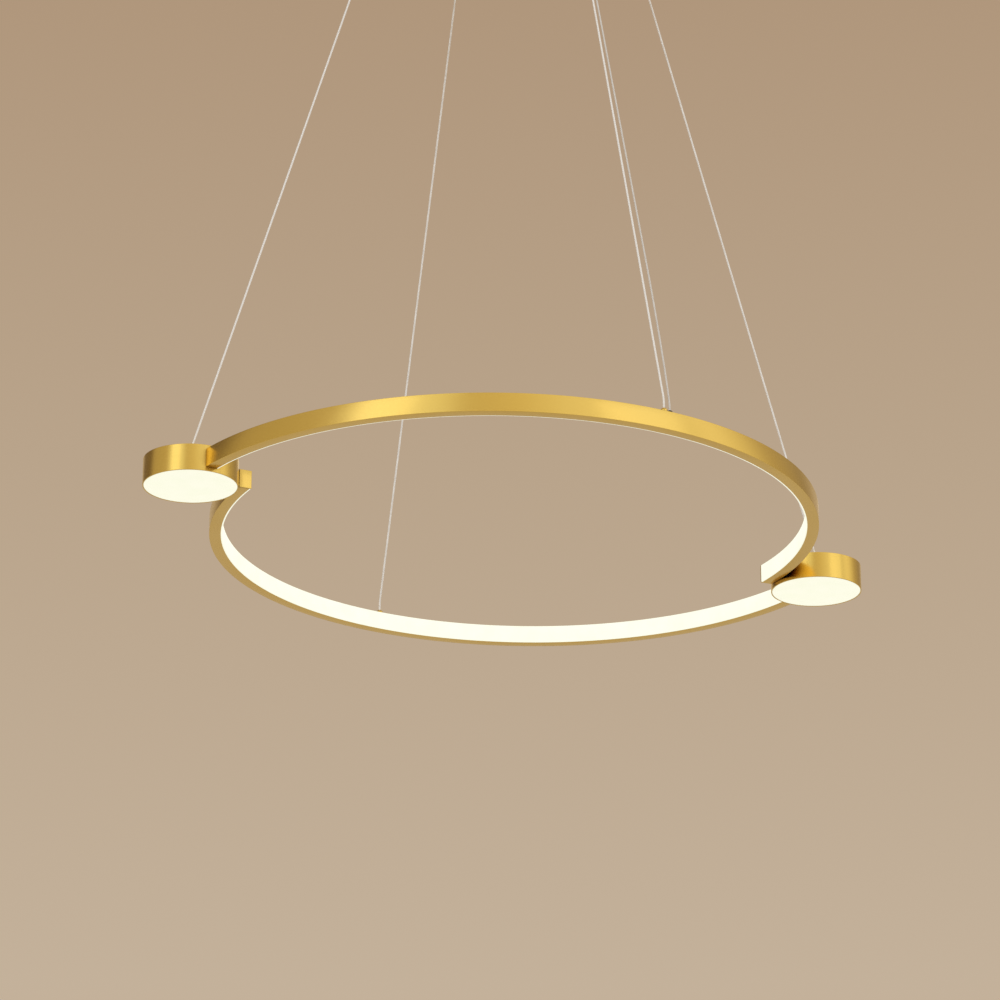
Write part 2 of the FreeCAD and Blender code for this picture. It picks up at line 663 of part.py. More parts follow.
def disc_housing(name):
    """Drum open below, with a slot for the joint block's tongue and holes for the gland and screws."""
    body = new_body(f"DiscHousing{name}")
    section = outline(body, f"HousingSection{name}", "XZ_Plane", (
        ("Sizes.disc_radius", "0"),
        ("Sizes.disc_radius", "Sizes.disc_height"),
        ("0", "Sizes.disc_height"),
        ("0", DISC_CEILING),
        (DISC_INSIDE, DISC_CEILING),
        (DISC_INSIDE, "0"),
    ))
    turned(body, f"Drum{name}", section)
    middle = f"({CAVITY_MIDDLE} * (1 - Sizes.disc_radius ^ 2 / (2 * {CENTRE_LINE} ^ 2)) - {CENTRE_LINE})"
    half = "(Sizes.tongue_width / 2 + Sizes.slot_gap)"
    low = f"({DISC_UNDER} + Sizes.flange_wall)"
    high = f"({DISC_UNDER} + Sizes.profile_height - Sizes.flange_wall)"
    slot = box_outline(
        body, f"TongueSlot{name}", "XZ_Plane", (f"{middle} - {half}", low), (f"{middle} + {half}", high))
    cut(body, f"TongueSlotCut{name}", slot)
    tie = drilled(body, f"DrumTieHole{name}", "YZ_Plane", (
        (f"-{TIE_Y}", "Sizes.disc_height / 2", "Sizes.small_screw + Sizes.thread_gap"),
    ))
    cut(body, f"DrumTieCut{name}", tie)
    holes = [(x, y, "Sizes.small_screw + Sizes.thread_gap") for x, y in block_screw_places()]
    holes.append(("0", "0", "Sizes.gland_stem + Sizes.thread_gap"))
    roof_holes = drilled(body, f"RoofHoles{name}", "XY_Plane", holes)
    cut(body, f"RoofHoleCut{name}", roof_holes, backwards=True)
    return body


def disc_diffuser(name):
    """Opal plate pushed into the drum's lower edge."""
    body = new_body(f"DiscDiffuser{name}")
    plate = rounds(body, f"DiscDiffuserOutline{name}", "XY_Plane", (
        ("0", "0", f"{DISC_INSIDE} - Sizes.fit_gap"),
    ), "Sizes.disc_lens_reveal")
    pad(body, f"DiscDiffuserPlate{name}", plate, "Sizes.disc_lens")
    return body


def disc_led_board(name):
    """Square board stuck under the drum's roof, with a hole round the wire's end."""
    body = new_body(f"DiscLedBoard{name}")
    plate = box_outline(
        body, f"BoardOutline{name}", "XY_Plane",
        ("-Sizes.board_width / 2", "-Sizes.board_width / 2"),
        ("Sizes.board_width / 2", "Sizes.board_width / 2"), BOARD_FACE)
    pad(body, f"Board{name}", plate, "Sizes.board_thickness")
    hole = drilled(body, f"BoardHole{name}", "XY_Plane", (("0", "0", "Sizes.board_hole"),))
    cut(body, f"BoardHoleCut{name}", hole, backwards=True)
    return body


def disc_led_chips(name):
    """A circle of LED chips on the board's lower side."""
    body = new_body(f"DiscLedChips{name}")
    face = box_outline(
        body, f"DiscChipFace{name}", "XY_Plane",
        ("Sizes.disc_chip_circle - Sizes.chip_length / 2", "-Sizes.chip_width / 2"),
        ("Sizes.disc_chip_circle + Sizes.chip_length / 2", "Sizes.chip_width / 2"),
        f"{BOARD_FACE} - Sizes.chip_thickness - Sizes.chip_solder")
    first = pad(body, f"DiscChip{name}", face, "Sizes.chip_thickness")
    doc.recompute()
    around(body, f"DiscChips{name}", [first], face, "Sizes.disc_chips")
    return body


for label, side in HALVES:
    name = label.title()
    arc_seat = {"x": f"{side} * {ARC_OFFSET}", "z": RING_Z, "turn": half_turn(side)}
    disc_seat = {"x": f"{side} * {DISC_X}", "z": DISC_Z, "turn": half_turn(side)}
    keep(seat(arc_channel(side, name), **arc_seat), f"arc_channel_{label}")
    keep(seat(arc_diffuser(name), **arc_seat), f"arc_diffuser_{label}")
    strip_turn = f"{half_turn(side)} + {BLOCK_TURN} + {TONGUE_TURN}"
    keep(seat(arc_led_strip(name), arc_seat["x"], "0", RING_Z, strip_turn), f"arc_led_strip_{label}")
    chip_turn = f"{half_turn(side)} + {CHIP_START}"
    keep(seat(arc_led_chips(name), arc_seat["x"], "0", RING_Z, chip_turn), f"arc_led_chips_{label}")
    cap = seat(arc_end_cap(name), arc_seat["x"], f"{-side} * Sizes.end_run", RING_Z, arc_seat["turn"])
    keep(cap, f"arc_end_cap_{label}")
    block_turn = f"{half_turn(side)} + {BLOCK_TURN}"
    keep(seat(joint_block(name), arc_seat["x"], "0", RING_Z, block_turn), f"joint_block_{label}")
    keep(seat(disc_housing(name), **disc_seat), f"disc_housing_{label}")
    keep(seat(disc_diffuser(name), **disc_seat), f"disc_diffuser_{label}")
    keep(seat(disc_led_board(name), **disc_seat), f"disc_led_board_{label}")
    keep(seat(disc_led_chips(name), **disc_seat), f"disc_led_chips_{label}")


def joint_screws():
    """Two screws down through each disc's roof into its joint block."""
    members = []
    for label, side in HALVES:
        for index, (x, y) in enumerate(block_screw_places(), start=1):
            place = (f"{side} * ({DISC_X} + {x})", f"{side} * {y}", DISC_TOP)
            members.append(screw(
                f"JointScrew{label.title()}{index}", "Sizes.small_head", "Sizes.small_head_height",
                "Sizes.small_screw", "Sizes.joint_screw_length", place, FreeCAD.Vector(0, 0, -1)))
    return members


def tie_screws():
    """A screw out through each disc's side into the end cap of the half ring that ends beside it."""
    members = []
    inside = f"sqrt({DISC_INSIDE} ^ 2 - (abs({TIE_Y}) + Sizes.small_head) ^ 2)"
    reach = f"{DISC_X} - {inside} + Sizes.head_gap"
    for label, side in HALVES:
        place = (f"{side} * ({reach})", f"{-side} * {TIE_Y}", f"{RING_Z} + Sizes.profile_height / 2")
        members.append(screw(
            f"TieScrew{label.title()}", "Sizes.small_head", "Sizes.small_head_height", "Sizes.small_screw",
            "Sizes.tie_screw_length", place, FreeCAD.Vector(-side, 0, 0)))
    return members


group("joint_screws", joint_screws())
group("tie_screws", tie_screws())


# ---------------------------------------------------------------- wires and their fittings

WIRE_BORE = "(Sizes.wire_radius + Sizes.wire_gap)"


def wire_gland(name):
    """Threaded gland with a stepped collar that the wire leaves by."""
    return stepped(f"WireGland{name}", (
        ("Sizes.gland_stem", "-Sizes.gland_stem_length", "0"),
        ("Sizes.gland_radius", "0", "Sizes.gland_collar"),
        ("Sizes.gland_tip", "Sizes.gland_collar", "Sizes.gland_height"),
    ), ((WIRE_BORE, "-Sizes.gland_stem_length", "Sizes.gland_height"),))


def gripper_body(name):
    """Cable gripper's threaded stem, collar and barrel, hollow below for the release plunger."""
    collar_low = "-Sizes.gripper_collar_height"
    cavity_top = f"({NECK_TOP} + Sizes.plunger_flange_height + Sizes.plunger_travel + Sizes.plunger_gap)"
    return stepped(f"GripperBody{name}", (
        ("Sizes.gripper_stem", "0", STEM_TOP),
        ("Sizes.gripper_collar", collar_low, "0"),
        ("Sizes.gripper_barrel", "-Sizes.gripper_length", collar_low),
    ), (
        (WIRE_BORE, cavity_top, STEM_TOP),
        ("Sizes.plunger_flange + Sizes.plunger_gap", NECK_TOP, cavity_top),
        ("Sizes.plunger_tip + Sizes.plunger_gap", "-Sizes.gripper_length", NECK_TOP),
    ))


def gripper_plunger(name):
    """Sleeve round the wire: its flange rests on the barrel's lip and its tip is pressed up."""
    flange_top = f"{NECK_TOP} + Sizes.plunger_flange_height"
    return stepped(f"GripperPlunger{name}", (
        ("Sizes.plunger_tip", PLUNGER_LOW, NECK_TOP),
        ("Sizes.plunger_flange", NECK_TOP, flange_top),
    ), ((WIRE_BORE, PLUNGER_LOW, flange_top),))


def rounded_path(name, points):
    """Straight runs joined by tangent arcs, each as large as its two runs allow."""
    edges = []
    start = points[0]
    for before, corner, after in zip(points, points[1:], points[2:]):
        back = before - corner
        ahead = after - corner
        turn = math.pi - back.getAngle(ahead)
        trim = BEND_SHARE * min(back.Length, ahead.Length)
        radius = trim / math.tan(turn / 2)
        print(f"{name}: arc radius {radius:.1f} mm, turn {math.degrees(turn):.1f} degrees")
        back.normalize()
        ahead.normalize()
        inward = back + ahead
        inward.normalize()
        depth = radius / math.cos(turn / 2) - radius
        arc_start = corner + back * trim
        arc_end = corner + ahead * trim
        edges.append(Part.LineSegment(start, arc_start).toShape())
        edges.append(Part.Arc(arc_start, corner + inward * depth, arc_end).toShape())
        start = arc_end
    edges.append(Part.LineSegment(start, points[-1]).toShape())
    return Part.Wire(edges)


def cord(label, points, radius):
    """A cord along its route, drawn with flats; its volume has to be its section times its length."""
    path = rounded_path(label, points)
    along = points[1] - points[0]
    level = FreeCAD.Rotation(FreeCAD.Vector(0, 0, 1), along)
    corners = []
    for corner in range(FLATS):
        turn = 2 * math.pi * corner / FLATS
        flat = FreeCAD.Vector(radius * math.cos(turn), radius * math.sin(turn), 0)
        corners.append(points[0] + level.multVec(flat))
    section = Part.makePolygon(corners + corners[:1])
    solid = path.makePipeShell([section], True, False)
    expected = Part.Face(section).Area * path.Length
    print(f"{label}: length {path.Length:.1f} mm, volume {solid.Volume:.1f}, expected {expected:.1f}")
    if abs(solid.Volume - expected) > VOLUME_SHARE * expected:
        raise RuntimeError(f"{label}: the cord's volume is wrong")
    feature = doc.addObject("Part::Feature", "".join(word.title() for word in label.split("_")))
    feature.Shape = solid
    return keep(feature, label)


def gripper_place(turn, holds):
    """The gripper's axis in the canopy."""
    circle = DISC_WIRES if holds == "disc" else ARC_WIRES
    return f"{circle} * cos({turn})", f"{circle} * sin({turn})"


def gland_place(turn, holds):
    """The gland's seat on a disc's roof or on a half ring."""
    reach = DISC_X if holds == "disc" else GLAND_Y
    level = DISC_TOP if holds == "disc" else RING_TOP
    return f"{reach} * cos({turn})", f"{reach} * sin({turn})", level


gripper_nuts = []
gland_nuts = []
wire_ends = []
wire_tails = []
for label, turn, holds in WIRES:
    name = "".join(word.title() for word in label.split("_"))
    upper_x, upper_y = gripper_place(turn, holds)
    lower_x, lower_y, lower_z = gland_place(turn, holds)
    gland = seat(wire_gland(name), lower_x, lower_y, lower_z)
    keep(gland, f"wire_gland_{label}")
    gripper = seat(gripper_body(name), upper_x, upper_y, CANOPY_UNDER)
    keep(gripper, f"gripper_body_{label}")
    plunger = seat(gripper_plunger(name), upper_x, upper_y, CANOPY_UNDER)
    keep(plunger, f"gripper_plunger_{label}")
    gripper_nuts.append(nut(
        f"GripperNut{name}", "Sizes.gripper_nut_flats", "Sizes.gripper_stem + Sizes.thread_gap",
        "Sizes.gripper_nut_height", (upper_x, upper_y, CANOPY_FLOOR)))
    wall = "Sizes.disc_roof" if holds == "disc" else "Sizes.flange_wall"
    gland_nuts.append(nut(
        f"GlandNut{name}", "Sizes.gland_nut_flats", "Sizes.gland_stem + Sizes.thread_gap",
        "Sizes.gland_nut_height", (lower_x, lower_y, f"{lower_z} - {wall} - Sizes.gland_nut_height")))
    wire_tails.append(rod(
        f"WireTail{name}", "Sizes.wire_radius", f"{STEM_TOP} - {PLUNGER_LOW} + Sizes.wire_tail",
        upper_x, upper_y, f"{CANOPY_UNDER} + {PLUNGER_LOW}"))
    stop_top = f"{lower_z} - Sizes.gland_stem_length"
    wire_ends.append(seat(stepped(f"WireEnd{name}", (
        ("Sizes.wire_radius", "0", "Sizes.gland_height + Sizes.gland_stem_length"),
        ("Sizes.stop_radius", "-Sizes.stop_length", "0"),
    )), lower_x, lower_y, stop_top))
    upper = FreeCAD.Vector(number(upper_x), number(upper_y), number(f"{CANOPY_UNDER} + {PLUNGER_LOW}"))
    lower = FreeCAD.Vector(number(lower_x), number(lower_y), number(f"{lower_z} + Sizes.gland_height"))
    rise = FreeCAD.Vector(0, 0, number("Sizes.wire_lead_in"))
    cord(f"wire_{label}", [upper, upper - rise, lower + rise, lower], number("Sizes.wire_radius"))
group("gripper_nuts", gripper_nuts)
group("gland_nuts", gland_nuts)
group("wire_ends", wire_ends)
group("wire_tails", wire_tails)


# ---------------------------------------------------------------- feed lead beside the left half ring's wire

def lead_gland():
    """Small gland in the canopy that the feed lead leaves by."""
    bore = "(Sizes.lead_radius + Sizes.wire_gap)"
    stem_top = "Sizes.canopy_wall + Sizes.lead_gland_stem_length"
    return stepped("LeadGland", (
        ("Sizes.lead_gland_tip", "-Sizes.lead_gland_height", "-Sizes.lead_gland_step"),
        ("Sizes.lead_gland_radius", "-Sizes.lead_gland_step", "0"),
        ("Sizes.lead_gland_stem", "0", stem_top),
    ), ((bore, "-Sizes.lead_gland_height", stem_top),))


def lead_inlet():
    """Bush on the half ring that the feed lead goes in by."""
    return stepped("LeadInlet", (
        ("Sizes.inlet_stem", "-Sizes.inlet_stem_length", "0"),
        ("Sizes.inlet_radius", "0", "Sizes.inlet_height"),
    ), (("Sizes.lead_radius + Sizes.fit_gap", "-Sizes.inlet_stem_length", "Sizes.inlet_height"),))


LEAD_GLAND_X = "Sizes.lead_gland_offset"
LEAD_GLAND_Y = f"(-{ARC_WIRES})"
keep(seat(lead_gland(), LEAD_GLAND_X, LEAD_GLAND_Y, CANOPY_UNDER), "lead_gland")
keep(seat(lead_inlet(), "Sizes.lead_offset", f"-{INLET_Y}", RING_TOP), "lead_inlet")
keep(nut(
    "LeadGlandNut", "Sizes.lead_nut_flats", "Sizes.lead_gland_stem + Sizes.thread_gap", "Sizes.lead_nut_height",
    (LEAD_GLAND_X, LEAD_GLAND_Y, CANOPY_FLOOR)), "lead_gland_nut")


def beside_wire(offset, height):
    """A point beside the left half ring's wire: offset along X, height above the half ring's lower face."""
    upper = number(f"{PLUNGER_LOW} - Sizes.wire_lead_in + Sizes.wire_drop")
    lower = number("Sizes.profile_height + Sizes.gland_height + Sizes.wire_lead_in")
    share = (number(height) - lower) / (upper - lower)
    reach = number(GLAND_Y) + share * (number(ARC_WIRES) - number(GLAND_Y))
    return FreeCAD.Vector(number(offset), -reach, number(f"{RING_Z} + {height}"))


lead_top = FreeCAD.Vector(
    number(LEAD_GLAND_X), number(LEAD_GLAND_Y), number(f"{CANOPY_UNDER} - Sizes.lead_gland_height"))
lead_foot = FreeCAD.Vector(
    number("Sizes.lead_offset"), -number(INLET_Y), number(f"{RING_TOP} + Sizes.inlet_height"))
cord("feed_lead", [
    lead_top,
    lead_top - FreeCAD.Vector(0, 0, number("Sizes.lead_drop")),
    beside_wire("Sizes.lead_near_side", "Sizes.wire_drop - Sizes.lead_near_fall"),
    beside_wire("Sizes.lead_low_side", "Sizes.lead_low_rise"),
    lead_foot + FreeCAD.Vector(0, 0, number("Sizes.lead_rise")),
    lead_foot,
], number("Sizes.lead_radius"))


# ---------------------------------------------------------------- canopy

def canopy_cover():
    """Sheet drum open above, with a bevelled lower edge and holes for the fittings and screws."""
    body = new_body("CanopyCover")
    inside = "(Sizes.canopy_radius - Sizes.canopy_wall)"
    section = outline(body, "CanopySection", "XZ_Plane", (
        ("0", "0"),
        ("Sizes.canopy_radius - Sizes.canopy_bevel", "0"),
        ("Sizes.canopy_radius", "Sizes.canopy_bevel"),
        ("Sizes.canopy_radius", "Sizes.canopy_height"),
        (inside, "Sizes.canopy_height"),
        (inside, "Sizes.canopy_wall"),
        ("0", "Sizes.canopy_wall"),
    ))
    turned(body, "CanopyDrum", section)
    holes = [
        (*gripper_place(turn, holds), "Sizes.gripper_stem + Sizes.thread_gap") for _, turn, holds in WIRES
    ]
    holes.append((LEAD_GLAND_X, LEAD_GLAND_Y, "Sizes.lead_gland_stem + Sizes.thread_gap"))
    floor_holes = drilled(body, "FittingHoles", "XY_Plane", holes)
    cut(body, "FittingHoleCut", floor_holes, backwards=True)
    side_hole = drilled(body, "SideScrewHole", "YZ_Plane", (
        ("0", "Sizes.canopy_height - Sizes.side_screw_level", "Sizes.side_screw + Sizes.thread_gap"),
    ))
    cut(body, "RightScrewHole", side_hole, backwards=True)
    cut(body, "LeftScrewHole", side_hole)
    return body


def mounting_bracket():
    """Strap against the ceiling, its ends bent down inside the canopy's side."""
    body = new_body("MountingBracket")
    reach = "(Sizes.canopy_radius - Sizes.canopy_wall - Sizes.strap_clearance)"
    inner = f"({reach} - Sizes.strap_thickness)"
    side = outline(body, "StrapSide", "XZ_Plane", (
        (f"-{reach}", "0"),
        (reach, "0"),
        (reach, "-Sizes.strap_tab"),
        (inner, "-Sizes.strap_tab"),
        (inner, "-Sizes.strap_thickness"),
        (f"-{inner}", "-Sizes.strap_thickness"),
        (f"-{inner}", "-Sizes.strap_tab"),
        (f"-{reach}", "-Sizes.strap_tab"),
    ), "-Sizes.strap_width / 2")
    strap = pad(body, "Strap", side, "Sizes.strap_width")
    bends = number(reach)
    rounded(
        body, "StrapBends", strap, "Sizes.strap_bend",
        lambda edge: abs(abs(edge.CenterOfMass.x) - bends) < NEAR
        and abs(edge.CenterOfMass.y) < NEAR and abs(edge.CenterOfMass.z) < NEAR)
    ceiling_slots = slots(
        body, "CeilingSlots", ("Sizes.slot_spacing / 2", "-Sizes.slot_spacing / 2"),
        "Sizes.slot_length", "Sizes.slot_radius")
    cut(body, "CeilingSlotCut", ceiling_slots)
    cable_hole = drilled(body, "CableHole", "XY_Plane", (("0", "0", "Sizes.bush_radius + Sizes.thread_gap"),))
    cut(body, "CableHoleCut", cable_hole)
    side_hole = drilled(body, "TabHole", "YZ_Plane", (
        ("0", "-Sizes.side_screw_level", "Sizes.side_screw + Sizes.thread_gap"),
    ))
    cut(body, "RightTabHole", side_hole, backwards=True)
    cut(body, "LeftTabHole", side_hole)
    return body


def supply_bush():
    """Press-fit ring that the supply cable comes through, flush with the bracket's upper face."""
    bore = doc.addObject("Part::Cylinder", "BushBore")
    bore.setExpression("Radius", "Sizes.bush_bore")
    bore.setExpression("Height", "Sizes.bush_height")
    bore.setExpression("Placement.Base.z", "-Sizes.bush_height")
    ring = doc.addObject("Part::Cut", "SupplyBush")
    ring.Base = bar("BushRing", FLATS, "Sizes.bush_radius", "-Sizes.bush_height", "0")
    ring.Tool = bore
    return ring


def driver_case():
    """Closed case of the LED driver, with bevelled corners, stuck down on the canopy's floor."""
    body = new_body("DriverCase")
    plate = box_outline(
        body, "DriverCaseOutline", "XY_Plane",
        ("-Sizes.driver_length / 2", "-Sizes.driver_width / 2"),
        ("Sizes.driver_length / 2", "Sizes.driver_width / 2"))
    block = pad(body, "DriverCaseBlock", plate, "Sizes.driver_height")
    half_length = number("Sizes.driver_length / 2")
    half_width = number("Sizes.driver_width / 2")
    bevelled(
        body, "DriverCaseBevel", block, "Sizes.driver_bevel",
        lambda edge: upright_edge(edge, (-half_length, half_length), (-half_width, half_width)))
    return body


def terminal_block():
    """Three-pole block: wire ways from side to side, and screw wells from above."""
    body = new_body("TerminalBlock")
    plate = box_outline(
        body, "TerminalOutline", "XY_Plane",
        ("-Sizes.block_length / 2", "-Sizes.block_width / 2"),
        ("Sizes.block_length / 2", "Sizes.block_width / 2"))
    pad(body, "TerminalBody", plate, "Sizes.block_height")
    poles = ("-Sizes.pole_pitch", "0", "Sizes.pole_pitch")
    for index, x in enumerate(poles, start=1):
        way = box_outline(
            body, f"WireWay{index}", "XZ_Plane",
            (f"{x} - Sizes.way_width / 2", "Sizes.way_level"),
            (f"{x} + Sizes.way_width / 2", "Sizes.way_level + Sizes.way_width"), "-Sizes.block_width / 2")
        cut(body, f"WireWayCut{index}", way, "Sizes.block_width", backwards=True)
    wells = drilled(
        body, "ScrewWells", "XY_Plane", [(x, "0", "Sizes.well_radius") for x in poles], "Sizes.block_height")
    cut(body, "ScrewWellCut", wells, "Sizes.well_depth")
    return body


def canopy_screws():
    """Screws through the canopy's side into the bracket's bent ends."""
    members = []
    for label, side in HALVES:
        place = (f"{side} * (Sizes.canopy_radius + Sizes.head_gap)", "0", "-Sizes.side_screw_level")
        members.append(screw(
            f"CanopyScrew{label.title()}", "Sizes.side_head", "Sizes.side_head_height", "Sizes.side_screw",
            "Sizes.side_screw_length", place, FreeCAD.Vector(-side, 0, 0)))
    return members


def terminal_screws():
    """Clamping screws at the bottom of the terminal block's wells."""
    well_floor = f"{CANOPY_FLOOR} + Sizes.block_height - Sizes.well_depth"
    return [
        rod(f"TerminalScrew{index}", "Sizes.well_radius - Sizes.fit_gap", "Sizes.well_screw",
            x, "Sizes.block_y", well_floor)
        for index, x in enumerate(("-Sizes.pole_pitch", "0", "Sizes.pole_pitch"), start=1)
    ]


keep(seat(canopy_cover(), z=CANOPY_UNDER), "canopy_cover")
keep(seat(mounting_bracket()), "mounting_bracket")
keep(seat(supply_bush()), "supply_bush")
keep(seat(driver_case(), y="Sizes.driver_y", z=CANOPY_FLOOR), "driver_case")
keep(seat(terminal_block(), y="Sizes.block_y", z=CANOPY_FLOOR), "terminal_block")
group("canopy_screws", canopy_screws())
group("terminal_screws", terminal_screws())

doc.recompute()
for item in doc.Objects:
    if "Invalid" in item.State or "Error" in item.State:
        raise RuntimeError(f"{item.Label} failed: {item.State}")
for node in nodes:
    if node.Shape.isNull() or not node.Shape.isValid():
        raise RuntimeError(f"{node.Label}: shape is not valid")
os.makedirs("parts", exist_ok=True)
for node in nodes:
    node.Shape.exportStep(f"parts/{node.Label}.step")
print(f"{len(nodes)} pieces written")
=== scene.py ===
import json
import math
from collections import namedtuple

import bmesh
import bpy
from mathutils import Matrix, Vector


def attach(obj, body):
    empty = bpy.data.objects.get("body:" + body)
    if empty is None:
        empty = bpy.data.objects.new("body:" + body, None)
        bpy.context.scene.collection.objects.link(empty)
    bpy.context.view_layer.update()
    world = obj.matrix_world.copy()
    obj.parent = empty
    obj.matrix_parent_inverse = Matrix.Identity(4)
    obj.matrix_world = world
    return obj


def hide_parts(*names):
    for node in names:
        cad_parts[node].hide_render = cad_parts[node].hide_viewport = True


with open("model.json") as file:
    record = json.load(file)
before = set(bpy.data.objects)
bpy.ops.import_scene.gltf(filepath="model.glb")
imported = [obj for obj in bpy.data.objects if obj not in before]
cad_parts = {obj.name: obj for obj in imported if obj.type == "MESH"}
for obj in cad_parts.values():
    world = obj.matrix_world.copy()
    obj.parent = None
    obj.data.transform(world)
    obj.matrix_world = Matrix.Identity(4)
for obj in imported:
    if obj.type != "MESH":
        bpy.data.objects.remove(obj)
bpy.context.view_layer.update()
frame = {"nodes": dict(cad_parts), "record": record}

# A pendant light. Two lit half rings of gold C-section, each starting at a lit disc, hang from a round
# canopy on four thin wires, beside a clear feed lead. The part's solids stay as they are, and each piece
# made here stands in for one of them.

NODES = frame["nodes"]
MM = 0.001

# ------------------------------------------------------------ sizes in millimetres, as in the source
FIT, THREAD_GAP, WIRE_GAP, RUNNING_GAP = 0.1, 0.05, 0.2, 0.05

# Half rings: section, diffuser and free end.
RING_R, SECTION_W, SECTION_H = 300.0, 12.0, 17.0
BACK_WALL, FLANGE = 1.4, 1.0
LENS_FRONT, LENS_PLUG, LENS_REVEAL = 1.4, 2.2, 0.3
END_RUN, CAP_PLATE, CAP_PLUG, PLUG_GAP = 8.0, 1.5, 8.0, 0.3

# Lit discs, and the joint block inside each.
DISC_R, DISC_H, DISC_WALL, DISC_ROOF = 42.5, 24.5, 1.0, 1.5
DISC_LENS, DISC_REVEAL, JOINT_GAP = 2.0, 0.2, 0.1
BLOCK_HALF, BLOCK_MARGIN, BLOCK_DEPTH, SCREW_SPACING = 8.0, 3.6, 8.0, 10.0
SMALL_SCREW, SMALL_HEAD, SMALL_HEAD_H, JOINT_SCREW_LENGTH = 1.5, 2.7, 1.6, 12.0

# Canopy, and what is fixed to it.
CANOPY_R, CANOPY_H, SHEET = 160.0, 28.0, 1.2
SIDE_SCREW, SIDE_HEAD, SIDE_HEAD_H, SIDE_SCREW_LENGTH, SIDE_SCREW_LEVEL = 2.0, 4.0, 2.4, 8.0, 10.0
BUSH_R, BUSH_BORE, BUSH_H = 8.0, 5.0, 3.0
DRIVER_L, DRIVER_W, DRIVER_H, DRIVER_Y = 120.0, 40.0, 18.0, 62.0
TERMINAL_H, TERMINAL_Y, POLE_PITCH = 14.0, -60.0, 9.0
WELL_R, WELL_DEPTH, CLAMP_H = 2.2, 6.0, 4.0

# Wires, how far inside the canopy's edge they hang, and the glands that hold their lower ends.
DISC_WIRE_INSET, ARC_WIRE_INSET = 23.5, 35.0
WIRE_DROP, WIRE_LEAD_IN, WIRE_R, WIRE_LENGTH, WIRE_TAIL = 650.0, 8.0, 0.9, 628.7, 6.0
STOP_R, STOP_LENGTH = 1.9, 3.0
GLAND_R, GLAND_COLLAR, GLAND_H, GLAND_TIP = 3.2, 2.4, 4.0, 1.8
GLAND_STEM, GLAND_STEM_LENGTH, GLAND_NUT, GLAND_NUT_H = 2.5, 6.0, 6.4, 2.0

# Grippers and their release plungers.
GRIPPER_COLLAR, GRIPPER_COLLAR_H, GRIPPER_BARREL, GRIPPER_LENGTH = 8.0, 4.0, 6.5, 20.0
GRIPPER_STEM, GRIPPER_STEM_LENGTH, GRIPPER_NUT, GRIPPER_NUT_H = 5.0, 10.0, 14.0, 4.0
PLUNGER_TIP, PLUNGER_FLANGE, PLUNGER_FLANGE_H, PLUNGER_OUT, PLUNGER_TRAVEL = 3.25, 4.4, 2.0, 4.0, 2.0
NECK_H = 1.5

# Feed lead, its gland on the canopy and its inlet on the left half ring.
LEAD_R, LEAD_LENGTH, LEAD_DROP, LEAD_RISE = 0.8, 646.8, 20.0, 10.0
LEAD_NEAR_SIDE, LEAD_NEAR_FALL, LEAD_LOW_SIDE, LEAD_LOW_RISE = 3.0, 80.0, 7.4, 130.0
LEAD_NEAR_BEND, LEAD_LOW_BEND = 55.0, 104.0
LEAD_GLAND_R, LEAD_GLAND_TIP, LEAD_GLAND_H, LEAD_GLAND_STEP, LEAD_GLAND_X = 6.0, 4.0, 8.0, 4.0, 17.0
LEAD_STEM, LEAD_STEM_LENGTH, LEAD_NUT, LEAD_NUT_H = 4.0, 8.0, 11.0, 3.0
INLET_R, INLET_H, INLET_STEM, INLET_STEM_LENGTH, INLET_X = 2.2, 3.0, 1.6, 2.5, 6.0

# Places that several pieces share.
CENTRE_R = RING_R - SECTION_W / 2
MOUTH = RING_R - SECTION_W
FLANGE_END = MOUTH + LENS_FRONT
PLUG_END = FLANGE_END + LENS_PLUG
BACK = RING_R - BACK_WALL
HOLLOW_R = (PLUG_END + BACK) / 2
SHIFT = (DISC_R + JOINT_GAP + SECTION_W / 2) / 2
DISC_X = CENTRE_R + SHIFT
RING_Z = -CANOPY_H - WIRE_DROP
RING_TOP = RING_Z + SECTION_H
DISC_Z = RING_Z - (DISC_H - SECTION_H) / 2
DISC_TOP = DISC_Z + DISC_H
FLOOR = -CANOPY_H + SHEET
GLAND_Y = math.sqrt(HOLLOW_R ** 2 - SHIFT ** 2)
INLET_Y = math.sqrt(HOLLOW_R ** 2 - (SHIFT + INLET_X) ** 2)
GRIPPER_DISC = CANOPY_R - DISC_WIRE_INSET
GRIPPER_ARC = CANOPY_R - ARC_WIRE_INSET
PLUNGER_LOW = -GRIPPER_LENGTH - PLUNGER_OUT
NECK_TOP = -GRIPPER_LENGTH + NECK_H
FLANGE_TOP = NECK_TOP + PLUNGER_FLANGE_H
STEM_TOP = SHEET + GRIPPER_STEM_LENGTH
WIRE_BORE = WIRE_R + WIRE_GAP
LEAD_BORE = LEAD_R + WIRE_GAP

LEAD_UPPER, LEAD_LOWER = (LEAD_GLAND_X, -GRIPPER_ARC), (INLET_X, -INLET_Y)

HALVES = (("left", -1), ("right", 1))
# Places of a wire's gripper and gland, the level that the gland sits on, and the wall under it.
Wire = namedtuple("Wire", "label upper lower seat wall")
WIRES = (
    Wire("left_disc", (-GRIPPER_DISC, 0.0), (-DISC_X, 0.0), DISC_TOP, DISC_ROOF),
    Wire("right_disc", (GRIPPER_DISC, 0.0), (DISC_X, 0.0), DISC_TOP, DISC_ROOF),
    Wire("left_arc", (0.0, -GRIPPER_ARC), (0.0, -GLAND_Y), RING_TOP, FLANGE),
    Wire("right_arc", (0.0, GRIPPER_ARC), (0.0, GLAND_Y), RING_TOP, FLANGE),
)

